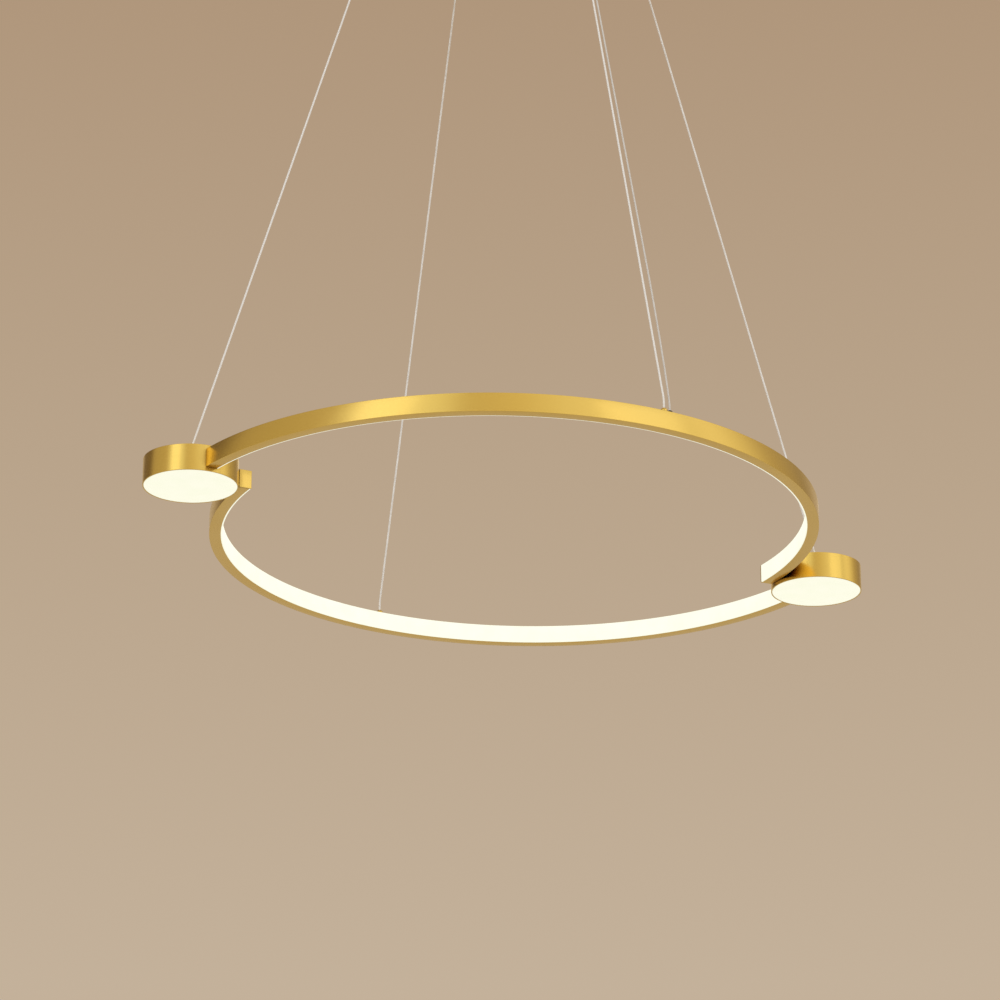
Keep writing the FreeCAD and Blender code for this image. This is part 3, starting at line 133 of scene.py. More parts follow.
# Details that only the scene has. Rounded edges, and the most of a side that one rounding may use up.
EDGE, SLOT_EDGE, ARC_EDGE, DRUM_EDGE, CANOPY_EDGE, CASE_EDGE = 0.2, 0.05, 0.28, 0.4, 1.0, 1.2
CORNER_SHARE = 0.45
# Threads: pitch and depth.
SCREW_PITCH, SCREW_THREAD = 0.6, 0.18
FINE_PITCH, FINE_THREAD = 0.7, 0.25
COARSE_PITCH, COARSE_THREAD = 0.9, 0.35
# Screw points, then shares of a screw's head: its dome, its socket's width and the socket's floor.
POINT_LENGTH, POINT_SHARE, DOME_SHARE, SOCKET_SHARE, SOCKET_FLOOR = 0.4, 0.4, 0.45, 0.42, 0.35
# The round face of a nut, as a share of its width over flats.
NUT_FACE_SHARE = 0.47
# Turns in radians, because screws and nuts don't all come to rest alike.
JOINT_SCREW_TURN, NUT_TURN, CLAMP_TURN, CLAMP_TURN_STEP = 0.4, 0.3, 0.5, 1.8
# How finely round faces are drawn.
SMALL_STEPS, FITTING_STEPS, BUSH_STEPS, DRUM_STEPS, ARC_STEPS, CANOPY_STEPS = 24, 48, 64, 224, 220, 256
SMOOTH_ANGLE, FULL_TURN, HALF_TURN = 35.0, 360.0, 180.0
HOLE_SIDES, HOLE_REACH = 32, 5.0
HEXAGON = 6
# Points closer together than this are one point.
NEAR = 1e-5


# ------------------------------------------------------------ outlines of (radius, height) points
def rounded_corner(before, corner, after, radius, steps):
    """The points of a small curve that takes a corner's place."""
    before, corner, after = Vector(before), Vector(corner), Vector(after)
    back, ahead = before - corner, after - corner
    reach = min(radius, back.length * CORNER_SHARE, ahead.length * CORNER_SHARE)
    start = corner + back.normalized() * reach
    end = corner + ahead.normalized() * reach
    parts = [k / steps for k in range(steps + 1)]
    return [tuple(start * (1 - t) ** 2 + corner * 2 * t * (1 - t) + end * t ** 2) for t in parts]


def softened(corners, radius, steps=3, sharp=()):
    """A closed outline with its corners rounded, apart from the sharp ones."""
    out = []
    for index, corner in enumerate(corners):
        if index in sharp:
            out.append(corner)
        else:
            after = corners[(index + 1) % len(corners)]
            out.extend(rounded_corner(corners[index - 1], corner, after, radius, steps))
    return out


def eased(chain, radius=EDGE, steps=2):
    """An open run of points with its inner corners rounded."""
    out = [chain[0]]
    for before, corner, after in zip(chain, chain[1:], chain[2:]):
        out.extend(rounded_corner(before, corner, after, radius, steps))
    return [*out, chain[-1]]


def threads(radius, low, high, pitch, depth):
    """The outer side of a threaded stem, from low to high."""
    count = int((high - low) / pitch)
    step = (high - low) / count
    side = []
    for k in range(count):
        side.append((radius - depth, low + k * step))
        side.append((radius, low + (k + 0.5) * step))
    return [*side, (radius - depth, high)]


# ------------------------------------------------------------ pieces in mesh code
def at(x=0.0, y=0.0, z=0.0, turn=0.0):
    """A place, turned about the vertical."""
    return Matrix.Translation((x, y, z)) @ Matrix.Rotation(turn, 4, "Z")


ORIGIN = at()
SIDEWAYS = Matrix.Rotation(math.pi / 2, 4, "Y")
DOWNWARDS = Matrix.Rotation(math.pi, 4, "X")


def smooth(mesh):
    """Round faces look round, and their edges stay sharp."""
    for face in mesh.polygons:
        face.use_smooth = True
    mesh.set_sharp_from_angle(angle=math.radians(SMOOTH_ANGLE))


def finished(name, bm):
    """Turns a bmesh that is already in metres into a piece."""
    bmesh.ops.recalc_face_normals(bm, faces=bm.faces[:])
    mesh = bpy.data.meshes.new(name)
    bm.to_mesh(mesh)
    bm.free()
    smooth(mesh)
    piece = bpy.data.objects.new(name, mesh)
    bpy.context.scene.collection.objects.link(piece)
    return piece


def placed(name, bm, place):
    """Turns a bmesh in millimetres into a piece at its place."""
    bm.transform(place)
    bm.transform(Matrix.Scale(MM, 4))
    return finished(name, bm)


def turned(bm, outline, steps, sweep, run):
    """Turns a closed outline about Z. A part turn may run on straight, and has a face at each end."""
    full = sweep == FULL_TURN
    stations = [(math.radians(sweep) * i / steps, 0.0) for i in range(steps if full else steps + 1)]
    if run:
        stations.append((math.radians(sweep), run))
    loops = []
    for turn, past in stations:
        across, along = math.cos(turn), math.sin(turn)
        loops.append([bm.verts.new((r * across - past * along, r * along + past * across, z))
                      for r, z in outline])
    for i in range(len(loops) if full else len(loops) - 1):
        one, two = loops[i], loops[(i + 1) % len(loops)]
        for k in range(len(outline)):
            m = (k + 1) % len(outline)
            if max(outline[k][0], outline[m][0]) > NEAR:
                bm.faces.new((one[k], one[m], two[m], two[k]))
    if not full:
        bm.faces.new(loops[0])
        bm.faces.new(list(reversed(loops[-1])))
    bmesh.ops.remove_doubles(bm, verts=bm.verts[:], dist=NEAR)


def lathe(name, outline, steps=FITTING_STEPS, place=ORIGIN, sweep=FULL_TURN, run=0.0):
    """A turned piece, from its closed outline."""
    bm = bmesh.new()
    turned(bm, outline, steps, sweep, run)
    return placed(name, bm, place)


def prism(name, radius, low, high, sides, place=ORIGIN):
    """A straight piece with flat sides; its first corner lies on the place's X."""
    bm = bmesh.new()
    turns = [2 * math.pi * i / sides for i in range(sides)]
    lower = [bm.verts.new((radius * math.cos(turn), radius * math.sin(turn), low)) for turn in turns]
    upper = [bm.verts.new((radius * math.cos(turn), radius * math.sin(turn), high)) for turn in turns]
    for i in range(sides):
        j = (i + 1) % sides
        bm.faces.new((lower[i], lower[j], upper[j], upper[i]))
    bm.faces.new(lower)
    bm.faces.new(upper)
    return placed(name, bm, place)


def hole(place, radius, sides=HOLE_SIDES, reach=HOLE_REACH):
    """A cutter along the place's own Z, up and down, with its corners clear of the axes."""
    return prism("hole", radius, -reach, reach, sides, place @ at(turn=math.pi / sides))


def block(name, low, high, place, bevel, steps=1):
    """A box between two corners, with rounded edges."""
    bm = bmesh.new()
    bmesh.ops.create_cube(bm, size=1.0)
    middle, size = (Vector(low) + Vector(high)) / 2, Vector(high) - Vector(low)
    for vertex in bm.verts:
        vertex.co = middle + vertex.co * size
    bmesh.ops.bevel(bm, geom=bm.edges[:], offset=bevel, segments=steps, profile=0.5, affect="EDGES")
    return placed(name, bm, place)


def carve(piece, cutters, operation="DIFFERENCE"):
    """Takes the cutters' solids out of the piece, or keeps what they share."""
    for cutter in cutters:
        modifier = piece.modifiers.new("carve", "BOOLEAN")
        modifier.operation = operation
        modifier.solver = "EXACT"
        modifier.object = cutter
    depsgraph = bpy.context.evaluated_depsgraph_get()
    result = bpy.data.meshes.new_from_object(piece.evaluated_get(depsgraph))
    piece.modifiers.clear()
    old = piece.data
    piece.data = result
    result.name = old.name
    bpy.data.meshes.remove(old)
    for cutter in cutters:
        bpy.data.objects.remove(cutter)
    smooth(result)
    return piece


def joined(name, members):
    """Several meshes as one piece."""
    bm = bmesh.new()
    for member in members:
        bm.from_mesh(member.data)
        bpy.data.objects.remove(member)
    return finished(name, bm)


# ------------------------------------------------------------ node materials
GAP_REACH = 20.0 * MM


class Nodes:
    """A small builder for a node tree."""

    def __init__(self, tree):
        self.tree = tree

    def add(self, kind, inputs=None, **settings):
        made = self.tree.nodes.new(kind)
        for key, value in settings.items():
            setattr(made, key, value)
        for key, value in (inputs or {}).items():
            made.inputs[key].default_value = value
        return made

    def link(self, source, target):
        self.tree.links.new(source, target)

    def colours(self, source, stops):
        """A colour for each value, from (value, colour) stops."""
        made = self.add("ShaderNodeValToRGB")
        ramp = made.color_ramp
        while len(ramp.elements) < len(stops):
            ramp.elements.new(0.5)
        for element, (value, colour) in zip(ramp.elements, stops):
            element.position = value
            element.color = (*colour, 1.0)
        self.link(source, made.inputs["Fac"])
        return made.outputs["Color"]

    def maximum(self, one, two):
        made = self.add("ShaderNodeMath", operation="MAXIMUM")
        self.link(one, made.inputs[0])
        self.link(two, made.inputs[1])
        return made.outputs[0]


class Shader(Nodes):
    """A procedural material on the surface shader's own sockets."""

    def __init__(self, name, **sockets):
        self.material = bpy.data.materials.new(name)
        self.material.use_nodes = True
        super().__init__(self.material.node_tree)
        self.bsdf = self.tree.nodes["Principled BSDF"]
        self.coords = self.add("ShaderNodeTexCoord").outputs["Object"]
        for key, value in sockets.items():
            self.bsdf.inputs[key.replace("_", " ")].default_value = value

    def stretched(self, stretch):
        mapping = self.add("ShaderNodeMapping", {"Scale": stretch})
        self.link(self.coords, mapping.inputs["Vector"])
        return mapping.outputs["Vector"]

    def noise(self, scale, detail=2.0, stretch=(1.0, 1.0, 1.0)):
        made = self.add("ShaderNodeTexNoise", {"Scale": scale, "Detail": detail, "Roughness": 0.5})
        self.link(self.stretched(stretch), made.inputs["Vector"])
        return made.outputs["Fac"]

    def ramp(self, source, low, high, start=0.3, end=0.7):
        """Values from start to end become values from low to high."""
        made = self.add("ShaderNodeMapRange", {
            "From Min": start, "From Max": end, "To Min": low, "To Max": high,
        })
        self.link(source, made.inputs["Value"])
        return made.outputs["Result"]

    def tones(self, source, dark, light, start=0.3, end=0.7):
        """Values from start to end become colours from dark to light."""
        return self.colours(source, ((start, dark), (end, light)))

    def feed(self, source, socket):
        self.link(source, self.bsdf.inputs[socket])

    def gloss(self, source, low, high):
        """Roughness from low to high."""
        self.feed(self.ramp(source, low, high), "Roughness")

    def bump(self, *layers):
        """Layers are (height, strength, depth in millimetres)."""
        normal = None
        for height, strength, depth in layers:
            made = self.add("ShaderNodeBump", {"Strength": strength, "Distance": depth * MM})
            self.link(height, made.inputs["Height"])
            if normal is not None:
                self.link(normal, made.inputs["Normal"])
            normal = made.outputs["Normal"]
        self.feed(normal, "Normal")


def painted_shade_in_gaps(s, colour):
    """The colour with painted shade: darker where faces stand close together."""
    openness = s.add("ShaderNodeAmbientOcclusion", {"Distance": GAP_REACH}, samples=8)
    # Painted shade: dark brown where faces stand closest, none where they stand open.
    painted_shade_of_gap = s.colours(s.ramp(openness.outputs["AO"], 0.0, 1.0, start=0.25, end=0.80), (
        (0.0, (0.14, 0.07, 0.03)),
        (0.55, (0.50, 0.42, 0.34)),
        (1.0, (1.0, 1.0, 1.0)),
    ))
    mix = s.add("ShaderNodeMix", {"Factor": 1.0}, data_type="RGBA", blend_type="MULTIPLY")
    s.link(colour, mix.inputs["A"])
    s.link(painted_shade_of_gap, mix.inputs["B"])
    return mix.outputs["Result"]


def satin_gold():
    """Gold plated metal: satin, with a fine grain round the turned faces, faint clouding and painted
    shade in its gaps.
    """
    s = Shader("satin_gold", Metallic=1.0)
    cloud = s.noise(9.0, 3.0)
    fine = s.noise(420.0)
    grain = s.noise(70.0, 3.0, stretch=(1.0, 1.0, 45.0))
    gold = s.tones(cloud, (0.855, 0.610, 0.150), (0.900, 0.660, 0.185), start=0.25, end=0.75)
    # Painted shade darkens the gold where faces stand close together.
    s.feed(painted_shade_in_gaps(s, gold), "Base Color")
    rough = s.add("ShaderNodeMath", operation="ADD")
    s.link(s.ramp(grain, 0.17, 0.24), rough.inputs[0])
    s.link(s.ramp(fine, -0.015, 0.02), rough.inputs[1])
    s.feed(rough.outputs[0], "Roughness")
    s.bump((grain, 0.05, 0.06), (fine, 0.04, 0.04))
    return s.material


def lit_opal():
    """Lit opal acrylic: an even warm white face with very faint mottling."""
    s = Shader("opal_lit", Emission_Strength=0.79)
    mottle = s.noise(60.0)
    s.feed(s.tones(mottle, (0.34, 0.335, 0.31), (0.37, 0.365, 0.34)), "Base Color")
    s.feed(s.tones(mottle, (0.965, 1.0, 0.80), (0.98, 1.0, 0.83)), "Emission Color")
    s.gloss(s.noise(900.0), 0.38, 0.5)
    s.bump((s.noise(1500.0), 0.04, 0.05))
    return s.material


def coated_wire():
    """Steel rope under a clear coat: light grey, with fine strands laid at a slant."""
    s = Shader("coated_wire", Metallic=0.05, Coat_Weight=0.5, Coat_Roughness=0.15)
    lay = s.add("ShaderNodeTexWave", {"Scale": 420.0, "Distortion": 0.6, "Detail": 1.0},
                bands_direction="DIAGONAL")
    s.link(s.stretched((1.0, 1.0, 0.35)), lay.inputs["Vector"])
    s.feed(s.tones(lay.outputs["Fac"], (0.84, 0.825, 0.80), (0.92, 0.91, 0.89), start=0.2, end=0.8),
           "Base Color")
    s.gloss(s.noise(300.0), 0.3, 0.42)
    s.bump((lay.outputs["Fac"], 0.15, 0.08))
    return s.material


def clear_lead():
    """Clear sheath over two fine tinned strands: greyer and softer than the wire."""
    s = Shader("clear_lead", Coat_Weight=0.5, Coat_Roughness=0.1)
    streak = s.noise(240.0, stretch=(6.0, 6.0, 0.3))
    s.feed(s.tones(streak, (0.62, 0.59, 0.55), (0.74, 0.72, 0.69)), "Base Color")
    s.gloss(s.noise(180.0), 0.28, 0.4)
    s.bump((streak, 0.2, 0.1))
    return s.material


def metal(name, dark, light, rough, grain_scale=180.0, stretch=(1.0, 1.0, 1.0), bump=0.06):
    """Plated or cast metal: clouding in its colour, and grain in its gloss and surface."""
    s = Shader(name, Metallic=1.0)
    grain = s.noise(grain_scale, 3.0, stretch)
    s.feed(s.tones(s.noise(40.0, 3.0), dark, light), "Base Color")
    s.gloss(grain, rough - 0.05, rough + 0.06)
    s.bump((grain, bump, 0.1))
    return s.material


def plastic(name, dark, light, rough, texture=400.0, bump=0.08):
    """Moulded plastic or solder mask: a fine texture and slight changes of tone."""
    s = Shader(name)
    fine = s.noise(texture)
    s.feed(s.tones(s.noise(30.0), dark, light), "Base Color")
    s.gloss(fine, rough - 0.05, rough + 0.07)
    s.bump((fine, bump, 0.1))
    return s.material


def lit_phosphor():
    """Yellow phosphor under clear silicone, lit."""
    s = Shader("led_chips", Emission_Color=(1.0, 0.86, 0.55, 1.0), Emission_Strength=1.0)
    cloud = s.noise(700.0)
    s.feed(s.tones(cloud, (0.86, 0.62, 0.12), (0.95, 0.76, 0.22)), "Base Color")
    s.gloss(cloud, 0.15, 0.25)
    s.bump((cloud, 0.1, 0.05))
    return s.material


FINISHES = {
    "gold_finish": satin_gold(),
    "opal_diffuser": lit_opal(),
    "led_chips": lit_phosphor(),
    "led_strip": plastic("solder_mask", (0.80, 0.80, 0.77), (0.88, 0.88, 0.86), 0.4),
    "led_board": plastic("board_mask", (0.82, 0.82, 0.80), (0.90, 0.90, 0.89), 0.35),
    "nickel": metal("nickel_plate", (0.60, 0.58, 0.55), (0.70, 0.69, 0.66), 0.2),
    "coated_wire": coated_wire(),
    "clear_lead": clear_lead(),
    "dark_bush": plastic("dark_rubber", (0.030, 0.026, 0.022), (0.055, 0.048, 0.042), 0.55),
    "cast_zinc": metal("cast_zinc", (0.48, 0.48, 0.47), (0.60, 0.60, 0.58), 0.45,
                       grain_scale=300.0, bump=0.2),
    "driver_white": plastic("driver_case", (0.80, 0.80, 0.78), (0.87, 0.87, 0.85), 0.5,
                            texture=260.0, bump=0.15),
    "terminal_nylon": plastic("natural_nylon", (0.80, 0.77, 0.66), (0.88, 0.85, 0.76), 0.35),
    "zinc_steel": metal("zinc_steel", (0.52, 0.54, 0.56), (0.66, 0.67, 0.68), 0.3,
                        grain_scale=90.0, stretch=(1.0, 12.0, 1.0), bump=0.1),
    "screw_steel": metal("screw_steel", (0.50, 0.50, 0.52), (0.64, 0.64, 0.65), 0.25),
}
SLOT_OF = {subpart["node"]: subpart["material_slot"] for subpart in frame["record"]["subparts"]}
for node_name, node_object in NODES.items():
    for material_slot in node_object.material_slots:
        material_slot.material = FINISHES[SLOT_OF[node_name]]


def dress(piece, node, body="root"):
    """Gives the piece the finish of the CAD node that it takes the place of."""
    slot = SLOT_OF[node]
    piece.data.materials.clear()
    piece.data.materials.append(FINISHES[slot])
    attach(piece, body)
    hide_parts(node)


# ------------------------------------------------------------ wires and the feed lead
CORD_ROUND_STEPS, CORD_STEPS = 6, 12


def cord(name, route, radius, node):
    """A taut cord along the route of the part's own source."""
    curve = bpy.data.curves.new(name, "CURVE")
    curve.dimensions = "3D"
    curve.bevel_depth = radius * MM
    curve.bevel_resolution = CORD_ROUND_STEPS
    curve.resolution_u = CORD_STEPS
    curve.use_fill_caps = True
    spline = curve.splines.new("NURBS")
    spline.points.add(len(route) - 1)
    for target, point in zip(spline.points, route):
        target.co = (*(point * MM), 1.0)
    spline.order_u = 3
    spline.use_endpoint_u = True
    piece = bpy.data.objects.new(name, curve)
    bpy.context.scene.collection.objects.link(piece)
    dress(piece, node)


def hanging_wire(wire):
    """Upright out of the gripper, straight down at a slant, and upright into the gland."""
    top = Vector((*wire.upper, -CANOPY_H + PLUNGER_LOW))
    foot = Vector((*wire.lower, wire.seat + GLAND_H))
    lead_in = Vector((0, 0, WIRE_LEAD_IN))
    upper_bend, lower_bend = top - lead_in, foot + lead_in
    along = (lower_bend - upper_bend).normalized() * WIRE_LEAD_IN
    route = [top, upper_bend, upper_bend + along, lower_bend - along, lower_bend, foot]
    cord(f"hanging_wire_{wire.label}", route, WIRE_R, f"wire_{wire.label}")


def beside_wire(x, z):
    """The point at a level that lies beside the left half ring's wire."""
    high = -CANOPY_H + PLUNGER_LOW - WIRE_LEAD_IN
    low = RING_TOP + GLAND_H + WIRE_LEAD_IN
    share = (z - low) / (high - low)
    return Vector((x, -GLAND_Y - share * (GRIPPER_ARC - GLAND_Y), z))


def feed_lead():
    """Down out of its gland, along the left half ring's wire, and down into its inlet."""
    top = Vector((*LEAD_UPPER, -CANOPY_H - LEAD_GLAND_H))
    foot = Vector((*LEAD_LOWER, RING_TOP + INLET_H))
    near = beside_wire(LEAD_NEAR_SIDE, -CANOPY_H - LEAD_NEAR_FALL)
    low = beside_wire(LEAD_LOW_SIDE, RING_Z + LEAD_LOW_RISE)
    along = (low - near).normalized()
    route = [top, top - Vector((0, 0, LEAD_DROP)), near, near + along * LEAD_NEAR_BEND,
             low - along * LEAD_LOW_BEND, low, foot + Vector((0, 0, LEAD_RISE)), foot]
    cord("clear_feed_lead", route, LEAD_R, "feed_lead")


for wire in WIRES:
    hanging_wire(wire)
feed_lead()


# ------------------------------------------------------------ half rings and discs
def channel_outline():
    """C-section, open to the ring's middle; the hollow's corners stay sharp."""
    ceiling = SECTION_H - FLANGE
    return softened((
        (RING_R, 0), (RING_R, SECTION_H), (FLANGE_END, SECTION_H), (FLANGE_END, ceiling),
        (BACK, ceiling), (BACK, FLANGE), (FLANGE_END, FLANGE), (FLANGE_END, 0),
    ), ARC_EDGE, sharp=(3, 4, 5, 6))


def diffuser_outline():
    """T-section: the lit face in front, and the plug between the flanges."""
    low, high = FLANGE + FIT, SECTION_H - FLANGE - FIT
    under, over = LENS_REVEAL, SECTION_H - LENS_REVEAL
    return softened((
        (MOUTH, under), (FLANGE_END, under), (FLANGE_END, low), (PLUG_END, low),
        (PLUG_END, high), (FLANGE_END, high), (FLANGE_END, over), (MOUTH, over),
    ), ARC_EDGE, sharp=(1, 2, 3, 4, 5, 6))


def half_turn_place(side, y=0.0):
    """A half ring's own place; the left one is the right one turned half way round."""
    return at(side * SHIFT, y, RING_Z, 0.0 if side > 0 else math.pi)


def coped_arc(name, outline, side, holes=()):
    """Half a turn of the outline and its straight end, cut away round its own disc."""
    piece = lathe(name, outline, ARC_STEPS, half_turn_place(side), HALF_TURN, END_RUN)
    middle = RING_Z + SECTION_H / 2
    cope = hole(at(side * DISC_X, 0, middle), DISC_R + JOINT_GAP, DRUM_STEPS, SECTION_H)
    return carve(piece, [cope, *holes])


def channel_holes(side):
    """Holes for the wire's gland, for the lead's inlet on the left, and for the tie screw."""
    tie = at(side * (SHIFT - RING_R), side * (CAP_PLUG / 2 - END_RUN), RING_Z + SECTION_H / 2)
    holes = [hole(at(0, side * GLAND_Y, RING_TOP), GLAND_STEM + THREAD_GAP),
             hole(tie @ SIDEWAYS, SMALL_SCREW + THREAD_GAP)]
    if side < 0:
        holes.append(hole(at(*LEAD_LOWER, RING_TOP), INLET_STEM + THREAD_GAP))
    return holes


def end_cap(name, side):
    """Outer plate and the plug that goes into the channel."""
    place = half_turn_place(side, -side * END_RUN)
    low = FLANGE + FIT
    plate = block("plate", (-RING_R, -CAP_PLATE, 0), (-MOUTH, 0, SECTION_H), place, 2 * EDGE, steps=3)
    plug = block("plug", (-BACK + PLUG_GAP, 0, low), (-PLUG_END - PLUG_GAP, CAP_PLUG, SECTION_H - low),
                 place, EDGE)
    return joined(name, [plate, plug])


def drum_outline():
    """Disc housing: a thin wall and a roof, open below."""
    inside, ceiling = DISC_R - DISC_WALL, DISC_H - DISC_ROOF
    return softened((
        (DISC_R, 0), (DISC_R, DISC_H), (0, DISC_H), (0, ceiling), (inside, ceiling), (inside, 0),
    ), DRUM_EDGE, steps=4, sharp=(2, 3, 4))


def disc_light_outline():
    """Flat disc inside the housing's wall, a little above its lower edge."""
    edge, top = DISC_R - DISC_WALL - FIT, DISC_REVEAL + DISC_LENS
    return softened((
        (0, DISC_REVEAL), (edge, DISC_REVEAL), (edge, top), (0, top),
    ), DRUM_EDGE, sharp=(0, 3))


for label, side in HALVES:
    channel = coped_arc(f"half_ring_{label}", channel_outline(), side, channel_holes(side))
    dress(channel, f"arc_channel_{label}")
    dress(coped_arc(f"half_ring_light_{label}", diffuser_outline(), side), f"arc_diffuser_{label}")
    dress(end_cap(f"end_cap_{label}", side), f"arc_end_cap_{label}")
    disc_place = at(side * DISC_X, 0, DISC_Z)
    dress(lathe(f"drum_{label}", drum_outline(), DRUM_STEPS, disc_place), f"disc_housing_{label}")
    disc_light = lathe(f"disc_light_{label}", disc_light_outline(), DRUM_STEPS, disc_place)
    dress(disc_light, f"disc_diffuser_{label}")


# ------------------------------------------------------------ glands, grippers and plungers
def gland_outline():
    """Threaded stem, straight collar, and a cone that closes round the wire."""
    stem = threads(GLAND_STEM, -GLAND_STEM_LENGTH, 0, FINE_PITCH, FINE_THREAD)
    head = eased([
        stem[-1], (GLAND_R, 0), (GLAND_R, GLAND_COLLAR), (GLAND_TIP, GLAND_H), (WIRE_BORE, GLAND_H),
    ])
    return [(WIRE_BORE, -GLAND_STEM_LENGTH), *stem[:-1], *head]


def gripper_outline():
    """Threaded stem, collar, grooved barrel, and the hollow that the plunger slides in."""
    groove_top, groove_low, groove_depth, cone = -8.0, -9.0, 0.25, 1.3
    stem = threads(GRIPPER_STEM, 0, STEM_TOP, COARSE_PITCH, COARSE_THREAD)
    groove = GRIPPER_BARREL - groove_depth
    mouth, hollow = PLUNGER_TIP + RUNNING_GAP, PLUNGER_FLANGE + RUNNING_GAP
    ceiling = FLANGE_TOP + PLUNGER_TRAVEL + RUNNING_GAP
    outside = eased([
        stem[0], (GRIPPER_COLLAR, 0), (GRIPPER_COLLAR, -GRIPPER_COLLAR_H),
        (GRIPPER_BARREL, -GRIPPER_COLLAR_H), (GRIPPER_BARREL, groove_top),
        (groove, groove_top), (groove, groove_low), (GRIPPER_BARREL, groove_low),
        (GRIPPER_BARREL, cone - GRIPPER_LENGTH), (GRIPPER_BARREL - cone, -GRIPPER_LENGTH),
        (mouth, -GRIPPER_LENGTH), (mouth, NECK_TOP),
    ])
    inside = [(hollow, NECK_TOP), (hollow, ceiling), (WIRE_BORE, ceiling), (WIRE_BORE, STEM_TOP)]
    return [*outside, *inside, *reversed(stem[1:])]


def plunger_outline():
    """Sleeve with a rounded tip, and the flange that rests on the barrel's lip."""
    tip = eased([
        (WIRE_BORE, FLANGE_TOP), (WIRE_BORE, PLUNGER_LOW),
        (PLUNGER_TIP, PLUNGER_LOW), (PLUNGER_TIP, NECK_TOP),
    ], 2 * EDGE, steps=3)
    return [*tip, (PLUNGER_FLANGE, NECK_TOP), (PLUNGER_FLANGE, FLANGE_TOP)]


def lead_gland_outline():
    """Domed clamping nut below the canopy and a threaded stem through it."""
    dome = 1.8
    stem = threads(LEAD_STEM, 0, SHEET + LEAD_STEM_LENGTH, COARSE_PITCH, COARSE_THREAD)
    nose = eased([
        (LEAD_BORE, -LEAD_GLAND_H), (LEAD_GLAND_TIP, -LEAD_GLAND_H),
        (LEAD_GLAND_TIP, dome - LEAD_GLAND_H), (LEAD_GLAND_R, -LEAD_GLAND_STEP),
        (LEAD_GLAND_R, 0), stem[0],
    ], 3 * EDGE, steps=4)
    return [*nose, *stem[1:], (LEAD_BORE, SHEET + LEAD_STEM_LENGTH)]


def inlet_outline():
    """Soft bush with a stem through the channel's wall and a cone round the lead."""
    bore, cone = LEAD_R + FIT, 0.8
    head = eased([
        (INLET_STEM, 0), (INLET_R, 0), (INLET_R, INLET_H - cone),
        (INLET_R - cone, INLET_H), (bore, INLET_H),
    ])
    return [(bore, -INLET_STEM_LENGTH), (INLET_STEM, -INLET_STEM_LENGTH), *head]


for wire in WIRES:
    gripper_place = at(*wire.upper, -CANOPY_H)
    gland = lathe(f"gland_{wire.label}", gland_outline(), place=at(*wire.lower, wire.seat))
    dress(gland, f"wire_gland_{wire.label}")
    gripper = lathe(f"gripper_{wire.label}", gripper_outline(), BUSH_STEPS, gripper_place)
    dress(gripper, f"gripper_body_{wire.label}")
    plunger = lathe(f"release_{wire.label}", plunger_outline(), place=gripper_place)
    dress(plunger, f"gripper_plunger_{wire.label}", f"plunger_{wire.label}")
dress(lathe("lead_gland_round", lead_gland_outline(), place=at(*LEAD_UPPER, -CANOPY_H)), "lead_gland")
dress(lathe("lead_bush", inlet_outline(), place=at(*LEAD_LOWER, RING_TOP)), "lead_inlet")


# ------------------------------------------------------------ screws
def pan_screw(head, height, shank, length, place):
    """Domed head below z = 0 with a hexagon socket, and a threaded shank above."""
    dome = eased([(0, -height), (head, -height), (head, -EDGE)], height * DOME_SHARE, steps=5)
    side = threads(shank, 0, length - POINT_LENGTH, SCREW_PITCH, SCREW_THREAD)
    outline = [*dome, (head - EDGE, 0), *side, (shank * POINT_SHARE, length), (0, length)]
    cutter = prism("socket", head * SOCKET_SHARE, -height * 2, -height * SOCKET_FLOOR, HEXAGON, place)
    return carve(lathe("screw", outline, SMALL_STEPS, place), [cutter])


def joint_screws():
    """Two over each joint block, whose middle is one chord round the half ring from its disc."""
    corner = BLOCK_HALF + BLOCK_MARGIN
    chord = math.sqrt((DISC_R - DISC_WALL) ** 2 - corner ** 2) - BLOCK_DEPTH / 2
    turn = 2 * math.asin(chord / (2 * CENTRE_R))
    screws = []
    for _, side in HALVES:
        for radius in (HOLLOW_R - SCREW_SPACING / 2, HOLLOW_R + SCREW_SPACING / 2):
            x, y = side * (SHIFT + radius * math.cos(turn)), side * radius * math.sin(turn)
            place = at(x, y, DISC_TOP, len(screws) * JOINT_SCREW_TURN) @ DOWNWARDS
            screws.append(pan_screw(SMALL_HEAD, SMALL_HEAD_H, SMALL_SCREW, JOINT_SCREW_LENGTH, place))
    return joined("joint_screw_set", screws)


def canopy_screws():
    """One through each side of the canopy."""
    screws = []
    for _, side in HALVES:
        inwards = Matrix.Rotation(-side * math.pi / 2, 4, "Y")
        place = at(side * (CANOPY_R + FIT), 0, -SIDE_SCREW_LEVEL) @ inwards
        screws.append(pan_screw(SIDE_HEAD, SIDE_HEAD_H, SIDE_SCREW, SIDE_SCREW_LENGTH, place))
    return joined("canopy_screw_set", screws)


dress(joint_screws(), "joint_screws")
dress(canopy_screws(), "canopy_screws")


# ------------------------------------------------------------ canopy and what it holds
def canopy():
    """Sheet drum, open above, with holes for the grippers, the lead's gland and the side screws."""
    inside = CANOPY_R - SHEET
    outline = softened((
        (0, 0), (CANOPY_R, 0), (CANOPY_R, CANOPY_H), (inside, CANOPY_H), (inside, SHEET), (0, SHEET),
    ), CANOPY_EDGE, steps=5, sharp=(0, 2, 3, 5))
    holes = [hole(at(*wire.upper, -CANOPY_H), GRIPPER_STEM + THREAD_GAP) for wire in WIRES]
    holes.append(hole(at(*LEAD_UPPER, -CANOPY_H), LEAD_STEM + THREAD_GAP))
    for _, side in HALVES:
        place = at(side * CANOPY_R, 0, -SIDE_SCREW_LEVEL) @ SIDEWAYS
        holes.append(hole(place, SIDE_SCREW + THREAD_GAP))
    return carve(lathe("canopy_drum", outline, CANOPY_STEPS, at(z=-CANOPY_H)), holes)


